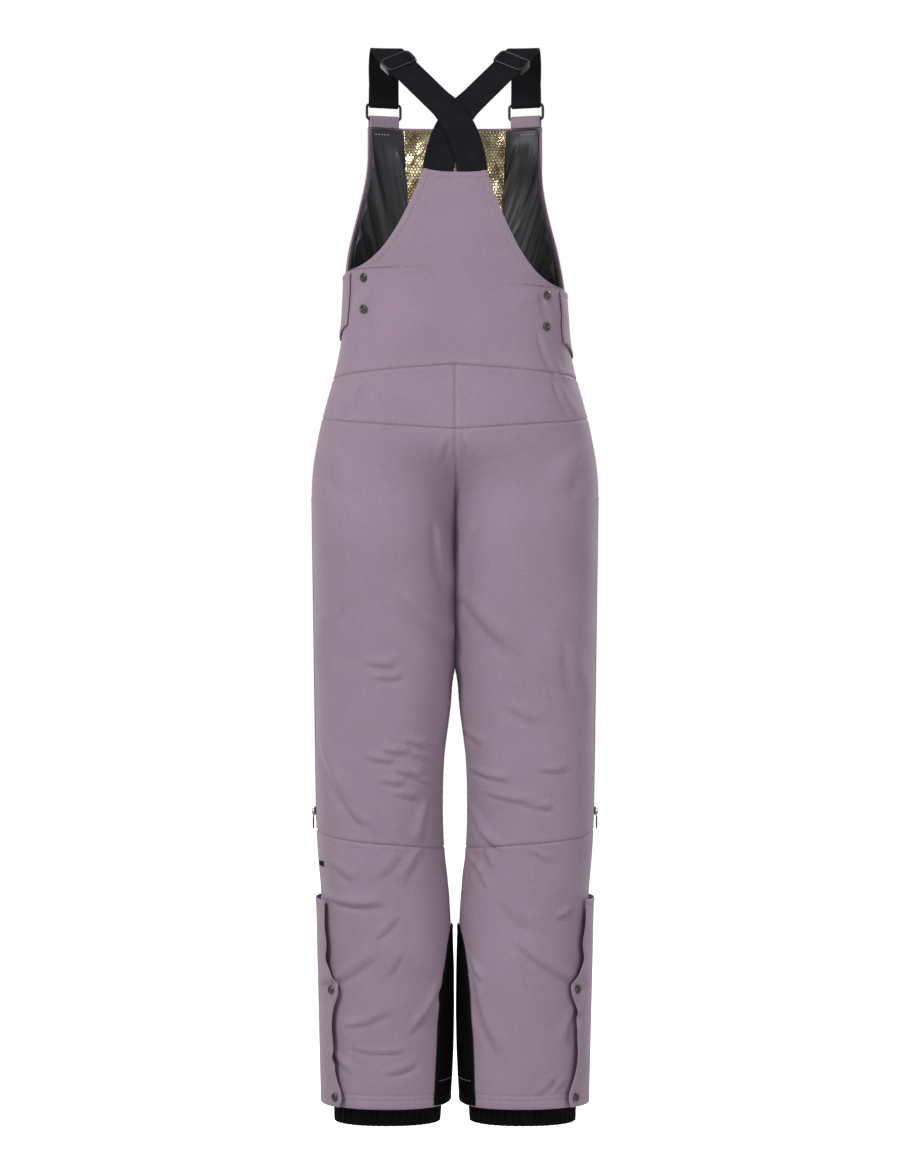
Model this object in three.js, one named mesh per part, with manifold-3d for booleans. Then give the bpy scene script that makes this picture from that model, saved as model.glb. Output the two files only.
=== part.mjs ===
// Insulated snow bib trousers, hanging by their shoulder straps.
// Millimetres. +Z is up, +Y is the wearer's front, +X the wearer's right.
// Heights are measured from the gaiter hems; the finished group hangs from z = 0.
import * as THREE from "three";
import { mergeVertices } from "three/addons/utils/BufferGeometryUtils.js";
import Module from "manifold-3d";

const wasm = await Module();
wasm.setup();

// ---- driving dimensions -------------------------------------------------------------
const STRAP_TOP = 1459; // height of the strap tops, where the bib hangs
const STRAP_TOP_Y = 26; // how far forward of the side seams the strap tops lie
const BIB_TOP = 1359; // top edge of the front bib
const BIB_TOP_HALF = 121; // half the width of that edge
const BACK_TOP = 1278; // top edge of the back panel
const BACK_TOP_HALF = 41;
const ARMHOLE_LOW = { left: 1148, right: 1124 };
const YOKE_TOP = 1018; // upper yoke seam at the centre back
const YOKE_DROP = 15; // how much lower that seam is at the side
const YOKE_LOW = 932; // lower yoke seam at the centre back
const YOKE_RISE = 19; // how much higher it is at the side
const WAIST = 1003; // front waist seam
const CROTCH = 790;
const CROTCH_BLEND = 136; // height over which the legs join into the seat
const KNEE = 370; // knee seam at the inner leg
const KNEE_RISE = 24; // how much higher it is at the outer leg
const HEM = 24;
const SHELL = 3.2; // insulated shell, through its thickness
const SEAM = 0.4; // gap left between panels that are sewn together
const LINING_OUT = 5.4; // depth of the lining below the shell's face
const BACK_LINING_OUT = 6.8; // deeper behind the back panel, where the strap ends lie
const BIB_LINING_OUT = 4.8; // and behind the front bib
const LINING = 1.5;
const WEB = { width: 40, thick: 1.8 }; // strap webbing
const RING = { width: 52, height: 24, bar: 3.6, corner: 6, swing: 1.4 };
const GLIDE = { width: 46, height: 28, thick: 2.4, corner: 8, clear: 0.6 };
const ZIP = { width: 6.4, thick: 2.4, sunk: 1.2, slot: 8.4, clear: 0.45 };
const VENT = { low: 404, high: 846 }; // side vent zip
const ANKLE = { low: 34, high: 292 }; // ankle zip
const FRONT_ZIP = { low: 1064, high: 1350 };
const FLAP = { low: 25, high: 302, back: -0.27, front: 0.1, out: 6.8, thick: 1.4 };
const TAB = { back: -0.266, front: 0.3, high: 4, tall: 70, out: 1.4, thick: 1.6 };
const SNAP = { radius: 5.8, tall: 2.2 };
const GAITER = { top: 120, out: 7.7, thick: 1.5, drawn: 2.6 };
const PATCH = { top: 265, half: 0.24, out: 1.8, thick: 1 };

// Cross-sections: [height, half width, half depth, squareness].
const TORSO = [
  [780, 193.3, 106, 2.3], [850, 194.3, 111, 2.3], [922, 186, 108, 2.4], [976, 173, 102, 2.5],
  [1009, 163.5, 98, 2.5], [1058, 154, 95, 2.6], [1112, 150, 94, 2.6], [1160, 149, 95, 2.7],
  [1260, 149, 95, 3], [1370, 149, 95, 3.3],
];
// Leg sections: [height, outer edge, inner edge, half depth].
const LEG = [
  [0, 173.4, 10, 69], [HEM, 174, 8.5, 70], [106, 176.1, 4.5, 74], [215, 178.8, 4.6, 79],
  [300, 181, 8, 82], [378, 187, 15.5, 85], [487, 188.7, 15, 89], [568, 189.9, 5.5, 93],
  [660, 191.4, 1.8, 98], [CROTCH, 193.4, 1.2, 104], [930, 195.5, 1, 108],
];
const LEG_SQUARE = 2.25;

const MATERIALS = {
  shell: new THREE.MeshStandardMaterial({ name: "shell", color: 0x9a8595, roughness: 0.75 }),
  lining: new THREE.MeshStandardMaterial({ name: "lining", color: 0x303034, roughness: 0.5 }),
  foil: new THREE.MeshStandardMaterial({ name: "foil", color: 0xb09a68, roughness: 0.3, metalness: 0.8 }),
  webbing: new THREE.MeshStandardMaterial({ name: "webbing", color: 0x1c1d20, roughness: 0.9 }),
  plastic: new THREE.MeshStandardMaterial({ name: "plastic", color: 0x1a1b1d, roughness: 0.4 }),
  zip: new THREE.MeshStandardMaterial({ name: "zip", color: 0x202124, roughness: 0.6 }),
  metal: new THREE.MeshStandardMaterial({ name: "metal", color: 0x4a4a4e, roughness: 0.3, metalness: 1 }),
  scuff: new THREE.MeshStandardMaterial({ name: "scuff", color: 0x0c0c0e, roughness: 0.8 }),
  gaiter: new THREE.MeshStandardMaterial({ name: "gaiter", color: 0x0e0f10, roughness: 0.85 }),
};

const garment = new THREE.Group();
const SIDES = [["left", -1], ["right", 1]];
const COLUMNS = 10; // facets round each half of a leg

// ---- shape helpers ------------------------------------------------------------------
const mix = (a, b, t) => a + (b - a) * t;
const clamp01 = (t) => Math.min(1, Math.max(0, t));
const smooth = (t) => clamp01(t) ** 2 * (3 - 2 * clamp01(t));
const power = (v, p) => Math.sign(v) * Math.abs(v) ** p;

// Reads a table of sections at one height, straight between its rows.
function section(table, height) {
  let k = 1;
  while (k < table.length - 1 && height > table[k][0]) k += 1;
  const [low, high] = [table[k - 1], table[k]];
  const t = clamp01((height - low[0]) / (high[0] - low[0]));
  return low.slice(1).map((v, i) => mix(v, high[i + 1], t));
}

// A point of the garment's outer face. turn runs from -1 at the centre back or inner
// leg, through 0 at the side, to +1 at the centre front. Below the crotch it is a leg.
function facePoint(turn, height) {
  const [width, depth, square] = section(TORSO, height);
  const [outer, inner, legDepth] = section(LEG, height);
  const whole = smooth((height - CROTCH) / CROTCH_BLEND);
  const quarter = (turn * Math.PI) / 2;
  const half = turn * Math.PI;
  const legHalf = (outer - inner) / 2;
  const legX = (outer + inner) / 2 + legHalf * power(Math.cos(half), 2 / LEG_SQUARE);
  const legY = legDepth * power(Math.sin(half), 2 / LEG_SQUARE);
  const torsoX = width * power(Math.cos(quarter), 2 / square);
  const torsoY = depth * power(Math.sin(quarter), 2 / square);
  return new THREE.Vector3(mix(legX, torsoX, whole), mix(legY, torsoY, whole), height);
}

// The same point moved out along the face's normal, on the left or right half.
function skin(side, turn, height, out = 0) {
  const around = facePoint(turn + 0.01, height).sub(facePoint(turn - 0.01, height));
  const up = facePoint(turn, height + 4).sub(facePoint(turn, height - 4));
  const normal = around.cross(up).normalize();
  const p = facePoint(turn, height).addScaledVector(normal, out);
  p.x = side * Math.max(p.x, SEAM / 2);
  p.z = height;
  return p;
}

// The turn at which the torso is a given distance from the centre line.
function turnAt(x, height) {
  const [width, , square] = section(TORSO, height);
  return (Math.acos(clamp01(x / width) ** (square / 2)) * 2) / Math.PI;
}

// A frame standing on the face: X along the face, Y up, Z outwards.
function frameOn(side, turn, height, out = 0) {
  const p = skin(side, turn, height, out);
  const normal = skin(side, turn, height, out + 1).sub(p).setZ(0).normalize();
  const up = new THREE.Vector3(0, 0, 1);
  const across = up.clone().cross(normal);
  return new THREE.Matrix4().makeBasis(across, up, normal).setPosition(p);
}

// Merges a geometry to bare positions and turns its faces outwards.
function closed(geometry) {
  geometry.deleteAttribute("normal");
  geometry.deleteAttribute("uv");
  const merged = mergeVertices(geometry, 1e-3);
  const at = (i) => new THREE.Vector3().fromBufferAttribute(merged.attributes.position, i);
  const index = Array.from(merged.index.array);
  let volume = 0;
  for (let i = 0; i < index.length; i += 3) {
    volume += at(index[i]).dot(at(index[i + 1]).cross(at(index[i + 2])));
  }
  if (volume < 0) index.reverse();
  merged.setIndex(index);
  return merged;
}

// A panel: a box whose faces follow place(u, v, w), each running from 0 to 1.
function panel(columns, rows, place) {
  const box = new THREE.BoxGeometry(1, 1, 1, columns, rows, 1);
  const position = box.attributes.position;
  for (let i = 0; i < position.count; i += 1) {
    const p = place(position.getX(i) + 0.5, position.getY(i) + 0.5, position.getZ(i) + 0.5);
    position.setXYZ(i, p.x, p.y, p.z);
  }
  return closed(box);
}

// A tube open at both ends, whose wall follows place(u round, v up, w through).
function tube(columns, rows, place) {
  const profile = [];
  for (let k = 0; k <= rows; k += 1) profile.push(new THREE.Vector2(2, k / rows));
  for (let k = rows; k >= 0; k -= 1) profile.push(new THREE.Vector2(1, k / rows));
  profile.push(profile[0].clone());
  const lathe = new THREE.LatheGeometry(profile, columns);
  const position = lathe.attributes.position;
  for (let i = 0; i < position.count; i += 1) {
    const [x, y, z] = [position.getX(i), position.getY(i), position.getZ(i)];
    const p = place(Math.atan2(x, z) / Math.PI, y, Math.round(Math.hypot(x, z)) - 1);
    position.setXYZ(i, p.x, p.y, p.z);
  }
  return closed(lathe);
}

// A flat ribbon along a smooth path: stops are [x, y, height, normal x, y, z].
function ribbon(stops, width, thick, steps) {
  const points = stops.map((s) => new THREE.Vector3(...s.slice(0, 3)));
  const path = new THREE.CatmullRomCurve3(points, false, "centripetal");
  const spans = stops.length - 1;
  return panel(1, steps, (u, v, w) => {
    const k = Math.min(spans - 1, Math.floor(v * spans + 1e-9));
    const t = v * spans - k;
    const [here, next] = [stops[k], stops[k + 1]].map((s) => new THREE.Vector3(...s.slice(3)));
    const normal = here.lerp(next, t);
    const along = path.getTangent(v);
    const across = along.clone().cross(normal).normalize();
    normal.copy(across).cross(along);
    const point = path.getPoint(v).addScaledVector(across, (u - 0.5) * width);
    return point.addScaledVector(normal, (w - 0.5) * thick);
  });
}

function toSolid(geometry) {
  const { attributes, index } = closed(geometry);
  const mesh = new wasm.Mesh({
    numProp: 3,
    vertProperties: Float32Array.from(attributes.position.array),
    triVerts: Uint32Array.from(index.array),
  });
  return new wasm.Manifold(mesh);
}

function toGeometry(solid) {
  const mesh = solid.getMesh();
  const geometry = new THREE.BufferGeometry();
  geometry.setAttribute("position", new THREE.BufferAttribute(Float32Array.from(mesh.vertProperties), 3));
  geometry.setIndex(Array.from(mesh.triVerts));
  return geometry;
}

// A block between two corners, as a solid to join or cut with.
function block(low, high) {
  const size = high.map((v, i) => v - low[i]);
  const box = new THREE.BoxGeometry(...size);
  return toSolid(box.translate(...low.map((v, i) => v + size[i] / 2)));
}

// A rounded plate in the XY plane, from one depth to another, with optional holes.
function plate(width, height, corner, from, to, holes = []) {
  const outline = roundedPath(new THREE.Shape(), width, height, corner);
  for (const hole of holes) outline.holes.push(roundedPath(new THREE.Path(), ...hole));
  const options = { depth: to - from, bevelEnabled: false, curveSegments: 3 };
  const geometry = new THREE.ExtrudeGeometry(outline, options);
  return geometry.translate(0, 0, from);
}

function roundedPath(path, width, height, corner, middle = 0) {
  const [x, y, r] = [width / 2, height / 2, corner];
  path.moveTo(-x + r, middle - y);
  path.lineTo(x - r, middle - y).absarc(x - r, middle - y + r, r, -Math.PI / 2, 0);
  path.lineTo(x, middle + y - r).absarc(x - r, middle + y - r, r, 0, Math.PI / 2);
  path.lineTo(-x + r, middle + y).absarc(-x + r, middle + y - r, r, Math.PI / 2, Math.PI);
  path.lineTo(-x, middle - y + r).absarc(-x + r, middle - y + r, r, Math.PI, Math.PI * 1.5);
  return path;
}

function add(name, geometry, material, matrix = null) {
  const mesh = new THREE.Mesh(geometry, material);
  mesh.name = name;
  if (matrix) matrix.decompose(mesh.position, mesh.quaternion, mesh.scale);
  garment.add(mesh);
  return mesh;
}

// ---- seams --------------------------------------------------------------------------
const yokeTop = (turn) => YOKE_TOP - YOKE_DROP * (1 - Math.abs(turn)) ** 0.8;
const yokeLow = (turn) => YOKE_LOW + YOKE_RISE * (1 - Math.abs(turn)) ** 0.9;
const kneeAt = (turn) => KNEE + KNEE_RISE * clamp01(1 - Math.abs(turn)) ** 1.3;

// Half the gap along the side seam, as a turn: wide where a zip lies in it.
function sideGap(height) {
  const ankle = height < ANKLE.high + 24;
  const vent = height > VENT.low - 24 && height < VENT.high + 24;
  const gap = ankle || vent ? ZIP.slot / 2 : SEAM / 2;
  const reach = facePoint(0.02, height).distanceTo(facePoint(0, height));
  return 0.02 * (gap / reach) ** (LEG_SQUARE / 2);
}

// A shell panel on one half between seams; facing is -1 for back, +1 for front.
// Each stretch is [seam above it, rows], and the first entry is the lowest seam.
function halfPanel(side, facing, seams) {
  const rows = seams.slice(1).reduce((sum, [, count]) => sum + count, 0);
  return panel(COLUMNS, rows, (u, v, w) => {
    let [row, k] = [v * rows, 1];
    while (k < seams.length - 1 && row > seams[k][1] + 1e-9) {
      row -= seams[k][1];
      k += 1;
    }
    // Both halves run the same way round, so their facets lie parallel to the lining's.
    const share = facing < 0 ? u : 1 - u;
    const low = seams[k - 1][0](facing * share) + (k === 1 ? SEAM / 2 : 0);
    const high = seams[k][0](facing * share) - (k === seams.length - 1 ? SEAM / 2 : 0);
    const height = mix(low, high, row / seams[k][1]);
    const turn = facing * mix(sideGap(height), 1, share);
    return skin(side, turn, height, -SHELL * (1 - w));
  });
}

// ---- shell --------------------------------------------------------------------------
const bodice = (side) => (side < 0 ? ARMHOLE_LOW.left : ARMHOLE_LOW.right);

// The back armhole: how far from the centre the back panel reaches at a height.
function backReach(side, height) {
  const low = bodice(side);
  const [width] = section(TORSO, height);
  if (height <= low) return width;
  return width - (width - BACK_TOP_HALF) * ((height - low) / (BACK_TOP - low)) ** 0.47;
}

// One panel across the whole back; inset pulls its edges in, for the lining behind it.
function backPanel(columns, rows, low, from, depth, inset) {
  const split = 0.4; // share of the rows below the armholes
  return panel(columns, rows, (u, v, w) => {
    const side = u < 0.5 ? -1 : 1;
    const share = Math.abs(u - 0.5) * 2;
    const heightOn = (s) => {
      const corner = bodice(s) - inset;
      if (v <= split) return mix(low(-(1 - share)), corner, v / split);
      return mix(corner, BACK_TOP - inset, ((v - split) / (1 - split)) ** 1.8);
    };
    const height = mix(heightOn(-1), heightOn(1), smooth(u));
    const reach = backReach(side, height + inset) - inset;
    const edge = turnAt(reach, height);
    const turn = -mix(1, Math.max(edge, sideGap(height)), share);
    const p = skin(side, turn, height, from - depth * (1 - w));
    if (share < 1e-6) p.x = 0;
    return p;
  });
}
add("back_bib_panel", backPanel(18, 10, (t) => yokeTop(t) + SEAM / 2, 0, SHELL, 0), MATERIALS.shell);
const backLining = backPanel(18, 10, (t) => yokeLow(t) + 8, -BACK_LINING_OUT, LINING, 14);
add("back_lining", backLining, MATERIALS.lining);

// The front bib's outer edge, from the armhole up to its top corner.
function frontReach(side, height, inset = 0) {
  const low = bodice(side);
  const [width] = section(TORSO, height);
  if (height <= low) return width;
  return mix(width, BIB_TOP_HALF, smooth((height - low) / 175)) - inset;
}

function bibPanel(side, columns, rows, low, inner, from, depth, inset) {
  return panel(columns, rows, (u, v, w) => {
    const height = mix(low, BIB_TOP - inset, v);
    const edge = Math.max(turnAt(frontReach(side, height, inset), height), sideGap(height));
    const centre = inner ?? zipEdge(height);
    return skin(side, mix(edge, centre, u), height, from - depth * (1 - w));
  });
}
const FOIL_EDGE = 0.8; // where the gold lining meets the black one
// Where the front bib meets the centre line, clear of the zip in its slot.
const zipEdge = (height) => (height > FRONT_ZIP.low - 40 ? turnAt(ZIP.slot / 2, height) : 1);

for (const [name, side] of SIDES) {
  const outer = bibPanel(side, 7, 9, WAIST + SEAM / 2, null, 0, SHELL, 0);
  add(`front_bib_${name}`, outer, MATERIALS.shell);
  const black = [WAIST - 50, FOIL_EDGE - 0.004, -BIB_LINING_OUT, LINING, 3];
  const lining = bibPanel(side, 5, 8, ...black);
  add(`bib_lining_${name}`, lining, MATERIALS.lining);
  const fork = () => CROTCH - 12;
  const backs = {
    yoke: [[yokeLow], [yokeTop, 2]],
    leg_upper: [[kneeAt], [fork, 5], [yokeLow, 6]],
    leg_lower: [[() => HEM], [kneeAt, 8]],
  };
  const fronts = {
    leg_upper: [[kneeAt], [fork, 5], [yokeLow, 6], [() => WAIST, 2]],
    leg_lower: [[() => HEM], [kneeAt, 8]],
  };
  for (const [part, seams] of Object.entries(backs)) {
    add(`back_${part}_${name}`, halfPanel(side, -1, seams), MATERIALS.shell);
  }
  for (const [part, seams] of Object.entries(fronts)) {
    add(`front_${part}_${name}`, halfPanel(side, 1, seams), MATERIALS.shell);
  }

  const patch = panel(6, 7, (u, v, w) => {
    const height = mix(HEM + 2, PATCH.top, v);
    const half = PATCH.half * Math.sqrt(1.02 - v ** 3);
    return skin(side, -1 + half * (1 - 2 * u), height, PATCH.out + PATCH.thick * w);
  });
  add(`kick_patch_${name}`, patch, MATERIALS.scuff);

  const gaiter = tube(2 * COLUMNS, 3, (u, v, w) => {
    const depth = GAITER.out + GAITER.drawn * (1 - v) + GAITER.thick * (1 - w);
    return skin(side, u, GAITER.top * v, -depth);
  });
  add(`gaiter_${name}`, gaiter, MATERIALS.gaiter);
  const legLining = tube(2 * COLUMNS, 8, (u, v, w) =>
    skin(side, u, mix(60, CROTCH - 2, v), -LINING_OUT - LINING * (1 - w)),
  );
  add(`leg_lining_${name}`, legLining, MATERIALS.lining);
  const seatLining = panel(2 * COLUMNS, 5, (u, v, w) => {
    const turn = mix(-1, 1, u);
    const height = mix(fork(), yokeLow(turn), mix(1 / 6, 1, v));
    return skin(side, turn, height, -LINING_OUT - LINING * (1 - w));
  });
  add(`seat_lining_${name}`, seatLining, MATERIALS.lining);
}
const foil = panel(8, 8, (u, v, w) => {
  const side = u < 0.5 ? -1 : 1;
  const turn = mix(1, FOIL_EDGE + 0.004, Math.abs(u - 0.5) * 2);
  const p = skin(side, turn, mix(WAIST - 50, BIB_TOP - 3, v), -BIB_LINING_OUT - LINING * (1 - w));
  if (Math.abs(u - 0.5) < 1e-6) p.x = 0;
  return p;
});
add("bib_lining_gold", foil, MATERIALS.foil);

// ---- straps, rings and glides -------------------------------------------------------
const RING_X = 100; // distance of each front strap from the centre
const ringTurn = turnAt(RING_X, BIB_TOP);
const RING_LOW = BIB_TOP + 12; // centre of the ring's lower bar
const RING_HIGH = RING_LOW + RING.height - RING.bar;
const LOOP = RING.bar / 2 + RING.swing + WEB.thick / 2; // radius of a webbing loop on a bar
const SWING_OUT = -3.9; // depth of the ring's plane below the shell's face
const strapHeight = (share) => mix(BACK_TOP, STRAP_TOP, share);
// Straight run of the left strap, from above the crossing to below its top.
const BACK_RUN = { low: [-28, -59.6, strapHeight(0.5575)], high: [-89, 5.3, strapHeight(0.9431)] };
const GLIDE_AT = 0.8; // where the glide sits on that run

for (const [name, side] of SIDES) {
  const stand = frameOn(side, ringTurn, BIB_TOP, SWING_OUT);
  const local = (out, height) => new THREE.Vector3(0, height - BIB_TOP, out).applyMatrix4(stand);
  const outward = new THREE.Vector3(0, 0, 1).transformDirection(stand);
  // Left and right straps mirror, except that the left one lies on top where they cross.
  const over = side < 0 ? 2.4 : -1.6;
  const mirrored = ([x, y, z]) => [-side * x, y, z];
  const stop = (at, n) => [...(at.isVector3 ? at.toArray() : mirrored(at)), ...n];
  const front = (k) => [outward.x * k, outward.y * k, 0.05];
  const leftNormal = [0, -0.75, 0.65];
  const down = [
    stop([22, -90, BACK_TOP - 15], [0, -1, 0]),
    stop([22, -90, BACK_TOP + 2], [0, -1, 0.05]),
    stop([18, -88.5 - over, strapHeight(0.1326)], [0, -1, 0.1]),
    stop([8, -84 - over, strapHeight(0.2873)], [0, -1, 0.2]),
    stop([-9, -74.5 - over, strapHeight(0.442)], [0, -0.85, 0.5]),
    stop(BACK_RUN.low, leftNormal),
    stop(BACK_RUN.low.map((v, i) => mix(v, BACK_RUN.high[i], 0.5)), leftNormal),
    stop(BACK_RUN.high, leftNormal),
    stop([-93.5, 14, STRAP_TOP - 3.4], [0, -0.35, 1]),
    stop([-95, 22, STRAP_TOP - WEB.thick / 2], [0, 0, 1]),
    stop([-96, 30, STRAP_TOP - WEB.thick / 2], [0, 0, 1]),
    stop([-98, 48, STRAP_TOP - 14], [0, 0.7, 0.7]),
    stop(local(LOOP - 1, RING_HIGH + 28), front(1)),
    stop(local(LOOP, RING_HIGH + 9), front(1)),
    stop(local(LOOP, RING_HIGH), front(1)),
  ];
  const turned = (degrees) => {
    const [c, s] = [Math.cos((degrees * Math.PI) / 180), Math.sin((degrees * Math.PI) / 180)];
    const at = local(LOOP * c, RING_HIGH - LOOP * s);
    return [...at.toArray(), outward.x * c, outward.y * c, -s];
  };
  const loop = [turned(45), turned(90), turned(135)];
  const back = [
    [...local(-LOOP, RING_HIGH).toArray(), ...front(-1).slice(0, 2), 0],
    [...local(-LOOP, RING_HIGH + 9).toArray(), ...front(-1).slice(0, 2), 0],
  ];
  // The webbing's end comes back up under its own outer run, to the glide.
  const under = (from, to) => {
    const list = [];
    for (let k = from; k >= to; k -= 1) {
      const [x, y, z, nx, ny, nz] = down[k];
      const n = new THREE.Vector3(nx, ny, nz).normalize();
      const drop = WEB.thick + 0.9;
      list.push([x - n.x * drop, y - n.y * drop, z - n.z * drop, -n.x, -n.y, -n.z]);
    }
    return list;
  };
  const strap = ribbon([...down, ...loop, ...back, ...under(11, 8)], WEB.width, WEB.thick, 52);
  add(`strap_${name}`, strap, MATERIALS.webbing);

  const holes = [[RING.width - 2 * RING.bar, RING.height - 2 * RING.bar, RING.corner - 3]];
  const ring = plate(RING.width, RING.height, RING.corner, -RING.bar / 2, RING.bar / 2, holes);
  const ringLift = new THREE.Matrix4().makeTranslation(0, (RING_LOW + RING_HIGH) / 2 - BIB_TOP, 0);
  const ringAt = stand.clone().multiply(ringLift);
  add(`ring_${name}`, ring, MATERIALS.plastic, ringAt);

  const tabLoop = [];
  for (const degrees of [0, 30, 60, 90, 120, 150, 180]) {
    const [c, s] = [Math.cos((degrees * Math.PI) / 180), Math.sin((degrees * Math.PI) / 180)];
    const at = local(LOOP * c, RING_LOW + LOOP * s);
    tabLoop.push([...at.toArray(), outward.x * c, outward.y * c, s]);
  }
  const foot = (k) => [...local(LOOP * k, BIB_TOP + SEAM).toArray(), outward.x * k, outward.y * k, 0];
  add(`ring_tab_${name}`, ribbon([foot(1), ...tabLoop, foot(-1)], WEB.width + 1, 1.6, 16), MATERIALS.shell);

  const runLow = new THREE.Vector3(...mirrored(BACK_RUN.low));
  const runHigh = new THREE.Vector3(...mirrored(BACK_RUN.high));
  const along = runHigh.clone().sub(runLow).normalize();
  const across = along.clone().cross(new THREE.Vector3(...leftNormal)).normalize();
  const out = across.clone().cross(along);
  const glideAt = new THREE.Matrix4().makeBasis(across, along, out);
  glideAt.setPosition(runLow.clone().lerp(runHigh, GLIDE_AT));
  const face = WEB.thick / 2 + GLIDE.clear;
  const deep = -(WEB.thick * 1.5 + 0.9 + GLIDE.clear + 0.8);
  const [gx, gy, rail] = [GLIDE.width / 2, GLIDE.height / 2, WEB.width / 2 + 0.8];
  const window = [33, 13, 3];
  const frame = toSolid(plate(GLIDE.width, GLIDE.height, GLIDE.corner, face, face + GLIDE.thick, [window]));
  const glide = frame
    .add(block([-gx + 0.2, -gy * 0.4, deep - 1.6], [-rail, gy * 0.4, face + 0.5]))
    .add(block([rail, -gy * 0.4, deep - 1.6], [gx - 0.2, gy * 0.4, face + 0.5]))
    .add(block([-gx + 0.2, -gy * 0.3, deep - 1.6], [gx - 0.2, gy * 0.3, deep]));
  add(`strap_glide_${name}`, toGeometry(glide), MATERIALS.plastic, glideAt);
}

// ---- zips ---------------------------------------------------------------------------
// A zip chain: a straight strip sunk in its slot. Local X across, Y up, Z outwards.
function chain(length) {
  const solid = block([-ZIP.width / 2, 0, -ZIP.sunk], [ZIP.width / 2, length, ZIP.thick - ZIP.sunk]);
  return toGeometry(solid);
}

// The zip's slider: a saddle over the chain, with a bridge that carries the pull.
const SLIDER = { width: 10.4, length: 12, top: 3.3, bridge: 6.1 };
const PULL_AXIS = 4.6; // height of the pull's pivot above the garment's face
function slider() {
  const channel = ZIP.thick - ZIP.sunk + ZIP.clear;
  const [x, y] = [SLIDER.width / 2, SLIDER.length / 2];
  return toGeometry(
    block([-x, -y, ZIP.clear], [x, y, SLIDER.top])
      .subtract(block([-ZIP.width / 2 - ZIP.clear, -y - 1, 0], [ZIP.width / 2 + ZIP.clear, y + 1, channel]))
      .add(block([-1.2, -3.6, SLIDER.top - 0.4], [1.2, 3.6, SLIDER.bridge]))
      .subtract(block([-2, -2, SLIDER.top + 0.1], [2, 2, SLIDER.bridge - 0.7])),
  );
}

// The pull hangs from a bar through the bridge. Local origin on that bar.
const PULL = { width: 6.4, length: 24, thick: 1.2, bar: 1 };
function pull() {
  const [x, z] = [PULL.width / 2, PULL.thick / 2];
  const hole = block([-1.7, -4.4, -1], [1.7, -PULL.bar / 2 + 0.02, 1]);
  return toGeometry(block([-x, -PULL.length, -z], [x, PULL.bar / 2, z]).subtract(hole));
}

// Places a zip on a straight line between two heights of the face.
function zip(name, side, turn, low, high, parked, withPull, lift = 0) {
  const foot = skin(side, turn, low, lift);
  const head = skin(side, turn, high, lift);
  const up = head.clone().sub(foot).normalize();
  const normal = new THREE.Vector3(0, 0, 1).transformDirection(frameOn(side, turn, (low + high) / 2));
  const across = up.clone().cross(normal).normalize();
  const basis = new THREE.Matrix4().makeBasis(across, up, across.clone().cross(up));
  const at = (height, out) => {
    const p = foot.clone().lerp(head, (height - low) / (high - low));
    const offset = new THREE.Vector3(0, 0, out).applyMatrix4(basis);
    return basis.clone().setPosition(p.add(offset));
  };
  add(`${name}_zip`, chain(head.distanceTo(foot)), MATERIALS.zip, at(low, 0));
  add(`${name}_zip_slider`, slider(), MATERIALS.metal, at(parked, 0));
  if (withPull) add(`${name}_zip_pull`, pull(), MATERIALS.plastic, at(parked, PULL_AXIS));
}
for (const [name, side] of SIDES) {
  zip(`vent_${name}`, side, 0, VENT.low, VENT.high, VENT.low + 14, true);
  zip(`ankle_${name}`, side, 0, ANKLE.low, ANKLE.high, ANKLE.low + 12, false);
}
zip("front", 1, 1, FRONT_ZIP.low, FRONT_ZIP.high, FRONT_ZIP.high - 20, true);

// ---- flaps, tabs and snaps ----------------------------------------------------------
const stud = () => {
  const { radius, tall } = SNAP;
  const dome = [[0, 0], [radius, 0], [radius, tall * 0.5], [radius * 0.7, tall * 0.9], [0, tall]];
  const lathe = new THREE.LatheGeometry(dome.map(([x, y]) => new THREE.Vector2(x, y)), 16);
  return closed(lathe.rotateX(Math.PI / 2));
};

for (const [name, side] of SIDES) {
  const flap = panel(6, 8, (u, v, w) => {
    const free = mix(FLAP.back, FLAP.back + 0.05, smooth(v * 2 - 1));
    const turn = mix(free, FLAP.front, u);
    return skin(side, turn, mix(FLAP.low, FLAP.high, v), FLAP.out + FLAP.thick * w);
  });
  add(`ankle_flap_${name}`, flap, MATERIALS.shell);
  for (const [k, height] of [["upper", 183], ["lower", 38]]) {
    const at = frameOn(side, FLAP.back + 0.045, height, FLAP.out + FLAP.thick + 0.6);
    add(`ankle_snap_${k}_${name}`, stud(), MATERIALS.metal, at);
  }

  const top = bodice(side) - TAB.high;
  const waist = panel(6, 3, (u, v, w) => {
    const turn = mix(TAB.back, TAB.front, u);
    const low = top - TAB.tall - 16 * smooth(u * 2);
    return skin(side, turn, mix(low, top, v), TAB.out + TAB.thick * w);
  });
  add(`waist_tab_${name}`, waist, MATERIALS.shell);
  for (const [k, drop] of [["upper", 8], ["lower", 50]]) {
    const height = top - drop;
    const turn = -turnAt(122, height);
    add(`waist_stud_${k}_${name}`, stud(), MATERIALS.metal, frameOn(side, turn, height, 0.5));
  }
}

// The small webbing loop at the head of the left ankle zip.
const leaf = plate(16, 7, 1.5, 0, 1.6, []);
add("ankle_loop_left", leaf, MATERIALS.webbing, frameOn(-1, -0.12, 350, 0.3));

garment.position.set(0, -STRAP_TOP_Y, -STRAP_TOP);
export default garment;
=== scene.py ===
"""Insulated snow bib trousers: cloth, webbing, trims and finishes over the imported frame."""

import logging
import math
from collections.abc import Callable
from dataclasses import dataclass, field
from enum import Enum

import bmesh
import bpy
import numpy as np
from mathutils import Matrix, Vector


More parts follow.
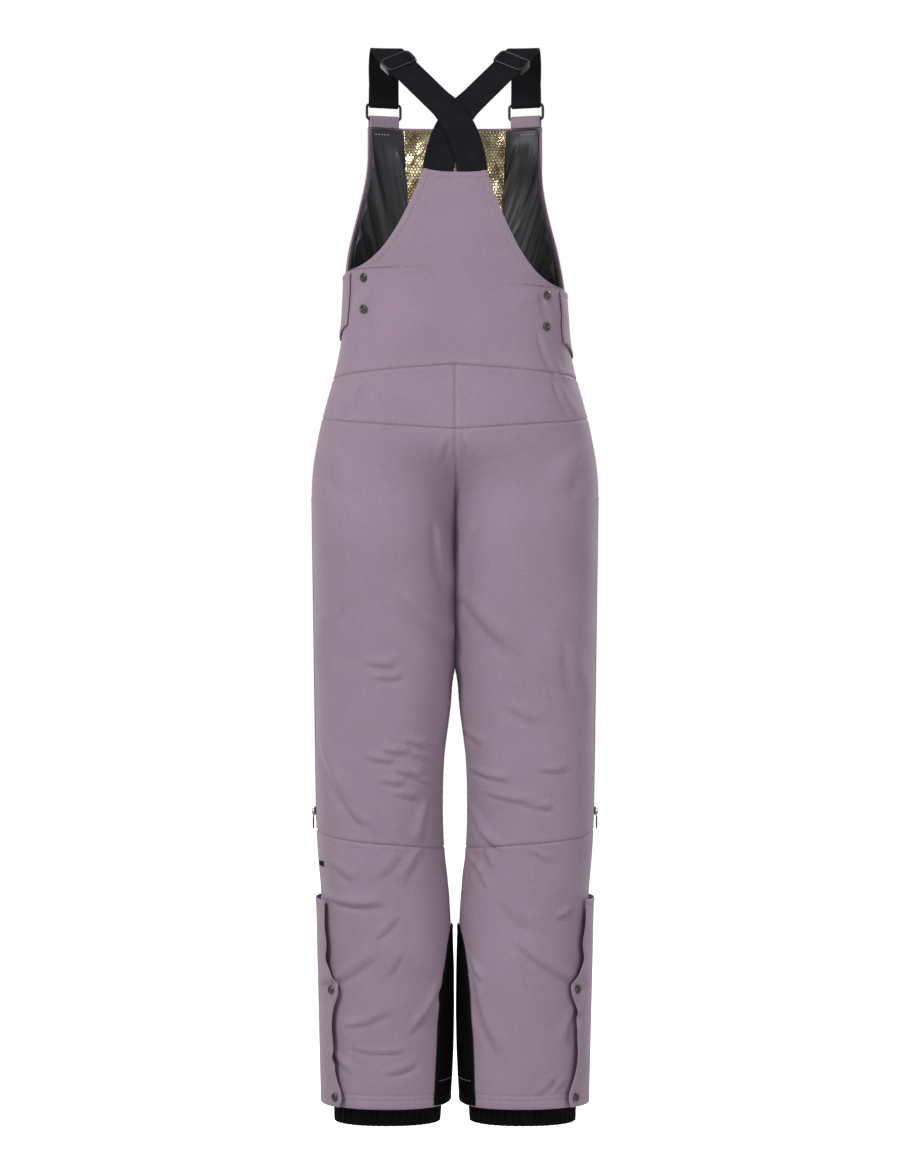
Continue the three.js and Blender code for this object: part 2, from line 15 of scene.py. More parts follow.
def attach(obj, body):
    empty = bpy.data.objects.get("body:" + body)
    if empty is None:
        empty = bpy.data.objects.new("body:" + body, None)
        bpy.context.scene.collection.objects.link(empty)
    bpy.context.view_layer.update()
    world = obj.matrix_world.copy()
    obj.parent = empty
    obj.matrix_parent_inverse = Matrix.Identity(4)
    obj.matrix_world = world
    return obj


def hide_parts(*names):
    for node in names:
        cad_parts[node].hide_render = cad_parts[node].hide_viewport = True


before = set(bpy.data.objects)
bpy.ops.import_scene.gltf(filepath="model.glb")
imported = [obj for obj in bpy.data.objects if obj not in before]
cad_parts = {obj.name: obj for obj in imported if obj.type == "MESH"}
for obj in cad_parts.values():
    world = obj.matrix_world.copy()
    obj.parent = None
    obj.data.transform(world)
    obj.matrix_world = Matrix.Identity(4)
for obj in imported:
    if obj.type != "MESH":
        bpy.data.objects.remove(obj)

LOG = logging.getLogger("snow_bib")
MM = 0.001
Field = np.ndarray
LOOK = "_look"  # ends the name of each finished piece, after the name of its node
CLOTH_MAP = "UVMap"
CLOTH_SLOT, THREAD_SLOT = 0, 1

# Heights above the gaiter hems and other sizes, in millimetres, as the frame has them.
STRAP_TOP, STRAP_TOP_Y = 1459.0, 26.0
BIB_TOP, BIB_TOP_HALF = 1359.0, 121.0
BACK_TOP, BACK_TOP_HALF = 1278.0, 41.0
YOKE_TOP, YOKE_DROP, YOKE_LOW, YOKE_RISE = 1018.0, 15.0, 932.0, 19.0
WAIST, CROTCH, CROTCH_BLEND = 1003.0, 790.0, 136.0
THIGHS_PART = (585.0, 630.0)  # heights between which the inner legs come together
KNEE, KNEE_RISE, HEM = 370.0, 24.0, 24.0
SHELL, SEAM, LINING = 3.2, 0.4, 1.5
LINING_OUT, BACK_LINING_OUT, BIB_LINING_OUT = 5.4, 6.8, 4.8
WEB_WIDTH, WEB_THICK = 40.0, 1.8
VENT = (404.0, 846.0)
ANKLE = (34.0, 292.0)
FRONT_ZIP = (1064.0, 1350.0)
ZIP_SLOT = 8.4
FLAP_SNAPS = {"upper": 183.0, "lower": 38.0}
FLAP = {"low": 25.0, "high": 302.0, "back": -0.27, "front": 0.1, "out": 6.8, "thick": 1.4}
TAB_STUDS = {"upper": 8.0, "lower": 50.0}  # drops below the top of a waist tab
TAB = {"back": -0.266, "front": 0.3, "high": 4.0, "tall": 70.0, "flare": 16.0, "out": 1.4,
       "thick": 1.6}
GAITER = {"top": 120.0, "out": 7.7, "thick": 1.5, "drawn": 2.6}
PATCH = {"low": 26.0, "top": 265.0, "half": 0.24, "out": 1.8, "thick": 1.0}
FOIL_EDGE, FOIL_CLEAR = 0.8, 0.004  # where the gold lining meets the black ones, as a turn
BIB_LINING_LOW = WAIST - 50
TORSO = (
    (780, 193.3, 106, 2.3), (850, 194.3, 111, 2.3), (922, 186, 108, 2.4), (976, 173, 102, 2.5),
    (1009, 163.5, 98, 2.5), (1058, 154, 95, 2.6), (1112, 150, 94, 2.6), (1160, 149, 95, 2.7),
    (1260, 149, 95, 3), (1370, 149, 95, 3.3),
)
LEG = (
    (0, 173.4, 10, 69), (24, 174, 8.5, 70), (106, 176.1, 4.5, 74), (215, 178.8, 4.6, 79),
    (300, 181, 8, 82), (378, 187, 15.5, 85), (487, 188.7, 15, 89), (568, 189.9, 5.5, 93),
    (660, 191.4, 1.8, 98), (790, 193.4, 1.2, 104), (930, 195.5, 1, 108),
)
LEG_SQUARE = 2.25
FOLD_DEPTH = 2.3  # all creases of the shell cloth, against the depths in their list
DEEPEST = 2.6  # how far a crease may sink before it would reach the lining


class Side(Enum):
    """Which half of the garment, as seen from behind."""

    LEFT = -1
    RIGHT = 1

    @property
    def word(self) -> str:
        """The word that ends the names of this half's pieces."""
        return self.name.lower()

    @property
    def armhole(self) -> float:
        """Height of the lowest point of this half's armhole."""
        return 1148.0 if self is Side.LEFT else 1124.0


def level(height: float) -> Callable[[Field], Field]:
    """A seam that runs level at one height."""
    return lambda turn: height + 0 * turn


def armhole_at(side: Field) -> Field:
    """Height of the low end of the armhole on either half."""
    return np.where(side < 0, Side.LEFT.armhole, Side.RIGHT.armhole)


def mix(a: Field | float, b: Field | float, t: Field | float) -> Field | float:
    """Value between a and b at share t."""
    return a + (b - a) * t


def smooth(t: Field | float) -> Field:
    """Smooth step from 0 to 1."""
    t = np.clip(t, 0.0, 1.0)
    return t * t * (3 - 2 * t)


def power(v: Field, p: float) -> Field:
    """Signed power."""
    return np.sign(v) * np.abs(v) ** p


def bell(s: Field, width: float) -> Field:
    """A bell curve of the given half width."""
    return np.exp(-((s / width) ** 2))


def section(table: tuple, height: Field) -> list[Field]:
    """Reads a table of sections at some heights, smoothly between its rows.

    Args:
        table: rows of a height and its values.
        height: heights to read at.

    Returns:
        One array for each value of a row.
    """
    rows = np.array(table, float)
    xs, ys = rows[:, 0], rows[:, 1:]
    steps = np.diff(ys, axis=0) / np.diff(xs)[:, None]
    slopes = np.vstack([steps[:1], (steps[1:] + steps[:-1]) / 2, steps[-1:]])
    k = np.clip(np.searchsorted(xs, height) - 1, 0, len(xs) - 2)
    span = xs[k + 1] - xs[k]
    t = np.clip((height - xs[k]) / span, 0, 1)
    found = []
    for column in range(ys.shape[1]):
        y, m = ys[:, column], slopes[:, column]
        found.append(
            y[k] * (1 + 2 * t) * (1 - t) ** 2 + y[k + 1] * t * t * (3 - 2 * t)
            + span * (m[k] * t * (1 - t) ** 2 - m[k + 1] * t * t * (1 - t))
        )
    return found


def face(turn: Field, height: Field) -> Field:
    """A point of the outer face. Below the crotch it lies on a leg.

    Args:
        turn: -1 at the centre back or inner leg, 0 at the side, +1 at the centre front.
        height: height above the gaiter hems.

    Returns:
        Points in millimetres, with a last axis of x, y and height.
    """
    turn, height = np.broadcast_arrays(np.asarray(turn, float), np.asarray(height, float))
    width, depth, square = section(TORSO, height)
    outer, inner, leg_depth = section(LEG, height)
    whole = smooth((height - CROTCH) / CROTCH_BLEND)
    quarter, half = turn * math.pi / 2, turn * math.pi
    leg_x = (outer + inner) / 2 + (outer - inner) / 2 * power(np.cos(half), 2 / LEG_SQUARE)
    leg_y = leg_depth * power(np.sin(half), 2 / LEG_SQUARE)
    torso_x = width * power(np.cos(quarter), 2 / square)
    torso_y = depth * power(np.sin(quarter), 2 / square)
    return np.stack([mix(leg_x, torso_x, whole), mix(leg_y, torso_y, whole), height], axis=-1)


def skin(side: Field | int, turn: Field, height: Field, out: Field | float = 0.0) -> Field:
    """A point of the face moved out along its normal, on one half.

    Args:
        side: -1 or +1, or an array of them.
        turn: place round the face.
        height: height above the gaiter hems.
        out: distance out of the face, in millimetres.

    Returns:
        Points in metres in the row frame.
    """
    turn, height = np.broadcast_arrays(np.asarray(turn, float), np.asarray(height, float))
    around = face(turn + 0.01, height) - face(turn - 0.01, height)
    up = face(turn, height + 4) - face(turn, height - 4)
    normal = np.cross(around, up)
    normal /= np.linalg.norm(normal, axis=-1, keepdims=True)
    p = face(turn, height) + normal * np.asarray(out)[..., None]
    meets = np.where(np.abs(turn) > 0.9999, thighs_met(height), 0.0)
    x = np.asarray(side) * np.maximum(p[..., 0], 0.0) * (1 - meets)
    return np.stack([x, p[..., 1] - STRAP_TOP_Y, height - STRAP_TOP], axis=-1) * MM


def thighs_met(height: Field) -> Field:
    """How far the inner legs have come together, from 0 below to 1 above."""
    low, high = THIGHS_PART
    return smooth((height - low) / (high - low))


def turn_at(x: Field | float, height: Field | float) -> Field:
    """The turn at which the torso is a given distance from the centre line."""
    width, _, square = section(TORSO, np.asarray(height, float))
    return np.arccos(np.clip(np.asarray(x) / width, 0, 1) ** (square / 2)) * 2 / math.pi


def frame_on(side: int, turn: float, height: float, out: float = 0.0) -> Matrix:
    """A frame standing on the face: X along the face, Y up, Z outwards, in metres."""
    p = skin(side, turn, height, out)
    normal = Vector(skin(side, turn, height, out + 1) - p)
    normal.z = 0
    normal.normalize()
    up = Vector((0, 0, 1))
    across = up.cross(normal)
    turned = Matrix((across, up, normal)).transposed().to_4x4()
    return Matrix.Translation(Vector(p)) @ turned


def on_cloth(side: int, turn: float, height: float, out: float) -> Matrix:
    """A frame like frame_on, standing on the hanging shell cloth."""
    return frame_on(side, turn, height, out + float(drape(side, turn, height)))


def yoke_top(turn: Field) -> Field:
    """Height of the upper yoke seam."""
    return YOKE_TOP - YOKE_DROP * np.clip(1 - np.abs(turn), 0, 1) ** 0.8


def yoke_low(turn: Field) -> Field:
    """Height of the lower yoke seam."""
    return YOKE_LOW + YOKE_RISE * np.clip(1 - np.abs(turn), 0, 1) ** 0.9


def knee_at(turn: Field) -> Field:
    """Height of the knee seam."""
    return KNEE + KNEE_RISE * np.clip(1 - np.abs(turn), 0, 1) ** 1.3


def side_gap(height: Field) -> Field:
    """Half the gap along the side seam, as a turn: wide where a zip lies in it."""
    ankle = height < ANKLE[1] + 24
    vent = (height > VENT[0] - 24) & (height < VENT[1] + 24)
    gap = np.where(ankle | vent, ZIP_SLOT / 2, SEAM / 2)
    reach = np.linalg.norm(face(0.02, height) - face(0.0, height), axis=-1)
    return 0.02 * (gap / reach) ** (LEG_SQUARE / 2)


def zip_edge(height: Field) -> Field:
    """Where the front bib meets the centre line, clear of the zip in its slot."""
    return np.where(height > FRONT_ZIP[0] - 40, turn_at(ZIP_SLOT / 2, height), 1.0)


# ---- the fall of the cloth ------------------------------------------------------------
@dataclass(frozen=True)
class Fold:
    """One crease: from one point to another (x, height), its width and its depth."""

    start: tuple[float, float]
    end: tuple[float, float]
    width: float = 6.0
    depth: float = 1.4

    def rise(self, x: Field, height: Field) -> Field:
        """How far the crease lifts the cloth, in millimetres, ridge above and valley below."""
        a, b = np.array(self.start), np.array(self.end)
        run = b - a
        length = float(np.hypot(*run))
        run = run / length
        dx, dh = x - a[0], height - a[1]
        t = (dx * run[0] + dh * run[1]) / length
        s = dx * -run[1] + dh * run[0]
        s = s + 0.05 * length * np.sin(math.pi * np.clip(t, 0, 1))
        s = s * (1 if run[0] >= 0 else -1)
        fade = smooth((t + 0.22) / 0.45) * smooth((1.22 - t) / 0.45)
        wide = self.width * (0.75 + 0.5 * np.clip(t, 0, 1))
        ridge = bell(s - 0.75 * wide, 0.85 * wide)
        valley = bell(s + 0.45 * wide, 0.42 * wide)
        return self.depth * fade * (0.85 * ridge - 1.25 * valley)


def waves(x: Field, height: Field, size: float, seed: int) -> Field:
    """Gentle unevenness from a few crossing waves.

    Args:
        x: distances across.
        height: heights.
        size: the usual wavelength, in millimetres.
        seed: picks the directions and phases.

    Returns:
        Values mostly between -1 and 1.
    """
    rng = np.random.default_rng(seed)
    total = np.zeros(np.broadcast(x, height).shape)
    for _ in range(7):
        angle, length = rng.uniform(0, math.pi), size * rng.uniform(0.7, 1.5)
        shift = rng.uniform(0, 2 * math.pi)
        bend = 0.8 * np.sin((x * 0.6 - height) / (size * 2.1) + shift)
        total = total + np.sin(
            2 * math.pi * (x * math.cos(angle) + height * math.sin(angle)) / length + shift + bend
        )
    return total / 4.2


LEFT_FOLDS = (
    Fold((-117, 621), (-81, 616), 7, 1.5), Fold((-106, 601), (-73, 601), 6, 1.3),
    Fold((-65, 517), (-38, 510), 5, 1.6), Fold((-94, 505), (-65, 500), 6, 1.5),
    Fold((-56, 499), (-28, 491), 5, 1.7), Fold((-114, 495), (-84, 489), 6, 1.6),
    Fold((-78, 478), (-44, 470), 6, 1.7), Fold((-97, 463), (-70, 460), 6, 1.3),
    Fold((-54, 467), (-26, 459), 5, 1.4), Fold((-78, 447), (-52, 440), 6, 1.3),
    Fold((-186, 525), (-145, 431), 10, 1.8), Fold((-70, 709), (-5, 649), 12, 1.8),
    Fold((-143, 428), (-122, 404), 7, 1.4), Fold((-33, 433), (-43, 383), 8, 2.0),
    Fold((-164, 352), (-140, 332), 7, 1.4), Fold((-41, 372), (-64, 330), 8, 1.6),
    Fold((-100, 334), (-72, 362), 9, 1.1), Fold((-166, 302), (-102, 298), 7, 2.2),
    Fold((-102, 255), (-78, 279), 6, 1.4), Fold((-168, 189), (-112, 226), 9, 1.5),
    Fold((-56, 130), (-20, 184), 6, 2.0), Fold((-90, 202), (-73, 230), 6, 1.0),
    Fold((-144, 133), (-92, 152), 7, 1.2), Fold((-136, 104), (-70, 102), 4, 1.2),
    Fold((-168, 99), (-142, 72), 6, 1.3), Fold((-92, 71), (-54, 83), 6, 1.2),
    Fold((-122, 993), (-140, 955), 7, 1.0), Fold((-8, 921), (-17, 890), 5, 1.4),
    Fold((-176, 905), (-150, 850), 16, 1.3), Fold((-112, 1120), (-128, 1040), 14, 0.9),
    Fold((-26, 800), (-10, 720), 10, 1.6), Fold((-150, 700), (-168, 620), 16, 1.2),
)
RIGHT_FOLDS = (
    Fold((21, 476), (68, 464), 6, 1.8), Fold((44, 445), (106, 436), 6, 1.5),
    Fold((92, 432), (127, 428), 5, 1.8), Fold((114, 478), (147, 478), 6, 1.4),
    Fold((14, 528), (34, 512), 7, 1.5), Fold((17, 430), (45, 380), 7, 2.4),
    Fold((28, 398), (58, 372), 6, 1.2), Fold((17, 364), (33, 338), 5, 1.8),
    Fold((30, 352), (38, 322), 5, 1.5), Fold((40, 372), (47, 348), 5, 1.3),
    Fold((102, 370), (126, 356), 6, 1.5), Fold((138, 280), (156, 290), 5, 2.2),
    Fold((86, 242), (165, 190), 9, 1.6), Fold((24, 203), (54, 104), 9, 1.9),
    Fold((20, 222), (34, 196), 5, 1.8), Fold((161, 156), (149, 112), 7, 1.3),
    Fold((112, 44), (134, 64), 5, 1.2), Fold((134, 47), (147, 60), 4, 1.1),
    Fold((133, 996), (156, 953), 7, 1.0), Fold((112, 1056), (141, 1000), 7, 1.0),
    Fold((14, 921), (20, 890), 5, 1.4), Fold((178, 905), (150, 850), 16, 1.3),
    Fold((12, 705), (70, 640), 13, 1.5), Fold((150, 640), (172, 560), 15, 1.3),
    Fold((26, 800), (10, 720), 10, 1.5), Fold((118, 1118), (132, 1078), 12, 0.9),
    Fold((60, 300), (100, 268), 12, 1.0), Fold((70, 560), (120, 540), 12, 1.0),
)


def drape(side: Field | int, turn: Field, height: Field) -> Field:
    """How far the hanging shell cloth stands out of its plain face, in millimetres.

    Args:
        side: -1 or +1, or an array of them.
        turn: place round the face.
        height: height above the gaiter hems.

    Returns:
        The rise at each place, the same for every piece that lies there.
    """
    turn, height = np.broadcast_arrays(np.asarray(turn, float), np.asarray(height, float))
    side = np.broadcast_to(np.asarray(side), turn.shape)
    x = face(turn, height)[..., 0]
    behind = smooth((-turn - 0.02) / 0.1)
    folds = np.zeros(turn.shape)
    for own, group in ((-1, LEFT_FOLDS), (1, RIGHT_FOLDS)):
        here = side == own
        for fold in group:
            folds += np.where(here, fold.rise(own * x, height), 0) * behind
            lifted = fold.rise(own * x, height - 14)
            folds += np.where(~here, lifted, 0) * (1 - behind) * smooth((1200 - height) / 60)
    along = (1 + turn) * 260 * side
    lie = 1.7 * waves(along, height * 0.7, 150, 5) + 0.6 * waves(along, height, 62, 8)
    legs = smooth((760 - height) / 200)
    flat = smooth((BACK_TOP - 40 - height) / 90)
    seam_side = smooth((np.abs(turn) - 0.02) / 0.06)
    middle = np.where(height > 926, 1.0, smooth((1 - np.abs(turn)) / 0.05))
    calm = np.where(turn > 0.8, smooth((1 - turn) / 0.06), 1.0)
    level = seam_side * middle * calm * flat * (1 - 0.9 * bell(height - armhole_at(side), 9))
    thighs = thighs_met(height) * smooth((900 - height) / 90)
    touch = 4.5 * thighs * smooth((np.abs(turn) - 0.86) / 0.1)
    total = level * (folds * FOLD_DEPTH + lie * (0.45 + 0.55 * legs))
    return np.where(total < 0, -DEEPEST * np.tanh(-total / DEEPEST), total) + touch


# ---- meshes ---------------------------------------------------------------------------
def grid_shares(length: float, step: float, marks: tuple[float, ...]) -> Field:
    """Shares along a length, close together near both ends.

    Args:
        length: the length, in millimetres.
        step: the usual spacing.
        marks: distances from each end that get a line of their own.

    Returns:
        Rising shares from 0 to 1.
    """
    near = [m for m in marks if m < length * 0.4]
    edge = max(near, default=0.0)
    count = max(2, round((length - 2 * edge) / step))
    middle = np.linspace(edge, length - edge, count + 1)
    ends = [length - m for m in near]
    return np.unique(np.round(np.concatenate([[0, length], near, middle, ends]), 4)) / length


def new_object(name: str, points: Field, faces: list, uv: Field, slots: Field) -> bpy.types.Object:
    """Makes a mesh object at the origin.

    Args:
        name: its name.
        points: vertices, in metres.
        faces: lists of vertex numbers.
        uv: one pair for each vertex, in metres.
        slots: one material number for each face.

    Returns:
        The object, smooth shaded.
    """
    mesh = bpy.data.meshes.new(name)
    mesh.from_pydata([tuple(p) for p in np.asarray(points, float)], [], faces)
    mesh.polygons.foreach_set("use_smooth", [True] * len(mesh.polygons))
    mesh.polygons.foreach_set("material_index", np.asarray(slots, np.int32))
    layer = mesh.uv_layers.new(name=CLOTH_MAP)
    loops = np.zeros(len(mesh.loops), np.int32)
    mesh.loops.foreach_get("vertex_index", loops)
    layer.data.foreach_set("uv", np.asarray(uv, np.float32)[loops].ravel())
    mesh.update()
    made = bpy.data.objects.new(name, mesh)
    bpy.context.scene.collection.objects.link(made)
    return made


def arc(points: Field, axis: int) -> Field:
    """Distance along a grid of points on one axis, starting at nought."""
    steps = np.linalg.norm(np.diff(points, axis=axis), axis=-1)
    start = np.zeros_like(np.take(steps, [0], axis=axis))
    return np.concatenate([start, np.cumsum(steps, axis=axis)], axis=axis)


# One stitch: a bead of unit length, width and height, pointed at both ends.
BEAD_POINTS = (
    (-0.5, 0, 0), (-0.3, 0.5, 0), (-0.3, 0, 0.5), (-0.3, -0.5, 0), (-0.3, 0, -0.5),
    (0.3, 0.5, 0), (0.3, 0, 0.5), (0.3, -0.5, 0), (0.3, 0, -0.5), (0.5, 0, 0),
)
BEAD_FACES = (
    (0, 2, 1), (0, 3, 2), (0, 4, 3), (0, 1, 4), (9, 5, 6), (9, 6, 7), (9, 7, 8), (9, 8, 5),
    (1, 2, 6, 5), (2, 3, 7, 6), (3, 4, 8, 7), (4, 1, 5, 8),
)


@dataclass
class Cloth:
    """A cloth wall gathered as points and faces, closed round its rim."""

    points: list = field(default_factory=list)
    faces: list = field(default_factory=list)
    uv: list = field(default_factory=list)
    slots: list = field(default_factory=list)
    count: int = 0

    def add(self, points: Field, faces: Field, uv: Field) -> None:
        """Adds points, faces that number them from nought, and their places on the cloth."""
        self.points.append(np.asarray(points, float))
        self.faces += (np.asarray(faces, int) + self.count).tolist()
        self.uv.append(np.asarray(uv, float))
        self.slots += [CLOTH_SLOT] * len(faces)
        self.count += len(points)

    def wall(self, outer: Field, inner: Field, wrap: bool = False) -> None:
        """Adds a wall between two grids of points, with a rounded rim.

        Args:
            outer: rows by columns by xyz.
            inner: the same grid on the other face.
            wrap: whether the last column meets the first.
        """
        rows, columns = outer.shape[:2]
        across, up = arc(outer, 1), arc(outer, 0)
        across = across - across[:, -1:] / 2
        uv = np.stack([across, up], axis=-1)
        ids = np.arange(rows * columns).reshape(rows, columns)
        if wrap:
            ids = np.concatenate([ids, ids[:, :1]], axis=1)
        quads = np.stack([ids[:-1, :-1], ids[:-1, 1:], ids[1:, 1:], ids[1:, :-1]], axis=-1)
        quads = quads.reshape(-1, 4)
        total = rows * columns
        if wrap:
            rims = [ids[0], ids[-1][::-1]]
        else:
            rims = [np.concatenate([ids[0], ids[1:, -1], ids[-1, -2::-1], ids[-2::-1, 0]])]
        flat_outer, flat_inner = outer.reshape(-1, 3), inner.reshape(-1, 3)
        points, places = [flat_outer, flat_inner], [uv.reshape(-1, 2)] * 2
        sides = [quads, quads[:, ::-1] + total]
        at = 2 * total
        for rim in rims:
            loop = rim[:-1]
            half = (flat_outer[loop] + flat_inner[loop]) / 2
            centre = self._outwards(flat_outer, loop, ids, wrap)
            thick = np.linalg.norm(flat_outer[loop] - flat_inner[loop], axis=1, keepdims=True)
            middle = half + centre * thick * 0.32
            points.append(middle)
            places.append(uv.reshape(-1, 2)[loop])
            n = len(loop)
            k, nxt = np.arange(n), (np.arange(n) + 1) % n
            sides.append(np.stack([loop[nxt], loop[k], at + k, at + nxt], axis=-1))
            sides.append(np.stack([at + nxt, at + k, loop[k] + total, loop[nxt] + total], axis=-1))
            at += n
        self.add(np.concatenate(points), np.concatenate(sides), np.concatenate(places))

    @staticmethod
    def _outwards(flat: Field, loop: Field, ids: Field, wrap: bool) -> Field:
        """Directions that point away from the cloth at its rim."""
        inward = {}
        rows, columns = ids.shape
        for r in (0, rows - 1):
            step = 1 if r == 0 else -1
            for c in range(columns):
                inward.setdefault(int(ids[r, c]), []).append(int(ids[r + step, c]))
        if not wrap:
            for c in (0, columns - 1):
                step = 1 if c == 0 else -1
                for r in range(rows):
                    inward.setdefault(int(ids[r, c]), []).append(int(ids[r, c + step]))
        found = []
        for i in loop:
            away = sum((flat[i] - flat[j]) / max(1e-9, np.linalg.norm(flat[i] - flat[j]))
                       for j in inward[int(i)])
            found.append(away / max(1e-9, np.linalg.norm(away)))
        return np.array(found)

    def stitches(self, path: Field, normals: Field, length: float = 3.1, gap: float = 1.3,
                 thick: float = 0.55) -> None:
        """Adds a row of stitches, each a small pointed bead, along a path on the cloth.

        Args:
            path: points in metres.
            normals: directions out of the cloth at those points.
            length: length of a stitch, in millimetres.
            gap: gap between stitches.
            thick: width and height of the thread.
        """
        along = arc(path, 0)
        pitch = (length + gap) * MM
        middles = np.arange(pitch * 0.6, along[-1] - pitch * 0.4, pitch)

        def read(values: Field, place: float) -> Field:
            """A row of values at a distance along the path."""
            return np.array([np.interp(place, along, values[:, k]) for k in range(3)])

        for middle in middles:
            at, n = read(path, middle), read(normals, middle)
            ahead, back = read(path, middle + MM), read(path, middle - MM)
            run = (ahead - back) / max(1e-9, np.linalg.norm(ahead - back))
            n = n - run * float(n @ run)
            n /= max(1e-9, np.linalg.norm(n))
            side = np.cross(n, run)
            local = np.array(BEAD_POINTS) * (length, thick * 1.25, thick) * MM
            points = at + n * 0.12 * MM + local[:, :1] * run + local[:, 1:2] * side + local[:, 2:] * n
            start = self.count
            self.add(points, np.zeros((0, 4), int), np.zeros((len(points), 2)))
            self.faces += [[i + start for i in f] for f in BEAD_FACES]
            self.slots += [THREAD_SLOT] * len(BEAD_FACES)

    def finish(self, name: str) -> bpy.types.Object:
        """Makes the object."""
        return new_object(name + LOOK, np.concatenate(self.points), self.faces,
                          np.concatenate(self.uv), np.array(self.slots))


# ---- sewn panels ----------------------------------------------------------------------
class Edge(Enum):
    """How an edge of a panel is finished."""

    PLAIN = "cut edge out of sight"
    SEAM = "joined to the next panel"
    TURNED = "turned under and topstitched"
    HEM = "deep hem with two rows of stitches"


SEAM_MARKS = (0.7, 1.7, 3.0, 5.0, 7.0, 9.5)
EDGE_MARKS = {
    Edge.PLAIN: (), Edge.SEAM: SEAM_MARKS,
    Edge.TURNED: (0.8, 2.2, 4.5, 6.6, 7.4, 8.2, 9.0, 9.8, 12.0),
    Edge.HEM: (0.8, 2.5, 5.0, 8.0, 9.2, 10.0, 10.8, 13.5, 16.2, 17.0, 17.8, 20.0),
}


def edge_rise(kind: Edge, d: Field, along: Field) -> Field:
    """How an edge's finish shapes the cloth beside it.

    Args:
        kind: the finish.
        d: distance from the edge, in millimetres.
        along: distance along the edge.

    Returns:
        The rise, in millimetres.
    """
    pull = np.sin(along / 1.55 + 2.2 * np.sin(along / 19.0)) * (0.6 + 0.4 * np.sin(along / 31.0))
    if kind is Edge.SEAM:
        return -1.3 * bell(d, 1.6) + 0.4 * bell(d - 4.5, 3.0) + 0.2 * pull * bell(d - 3, 6)
    if kind is Edge.TURNED:
        lip = 0.3 * smooth((9 - d) / 2)
        return lip - 0.55 * bell(d - 8.2, 1.0) - 0.5 * bell(d, 0.9) + 0.14 * pull * bell(d - 8, 7)
    if kind is Edge.HEM:
        rows = bell(d - 10, 1.2) + bell(d - 17, 1.2)
        return 0.35 * bell(d - 4, 5) - 0.95 * rows - 0.4 * bell(d, 0.9) + 0.22 * pull * bell(d - 13, 9)
    return np.zeros_like(d)


Place = Callable[[Field, Field], tuple[Field, Field, Field]]
MEASURES = 49  # lines each way on which a plain piece is measured


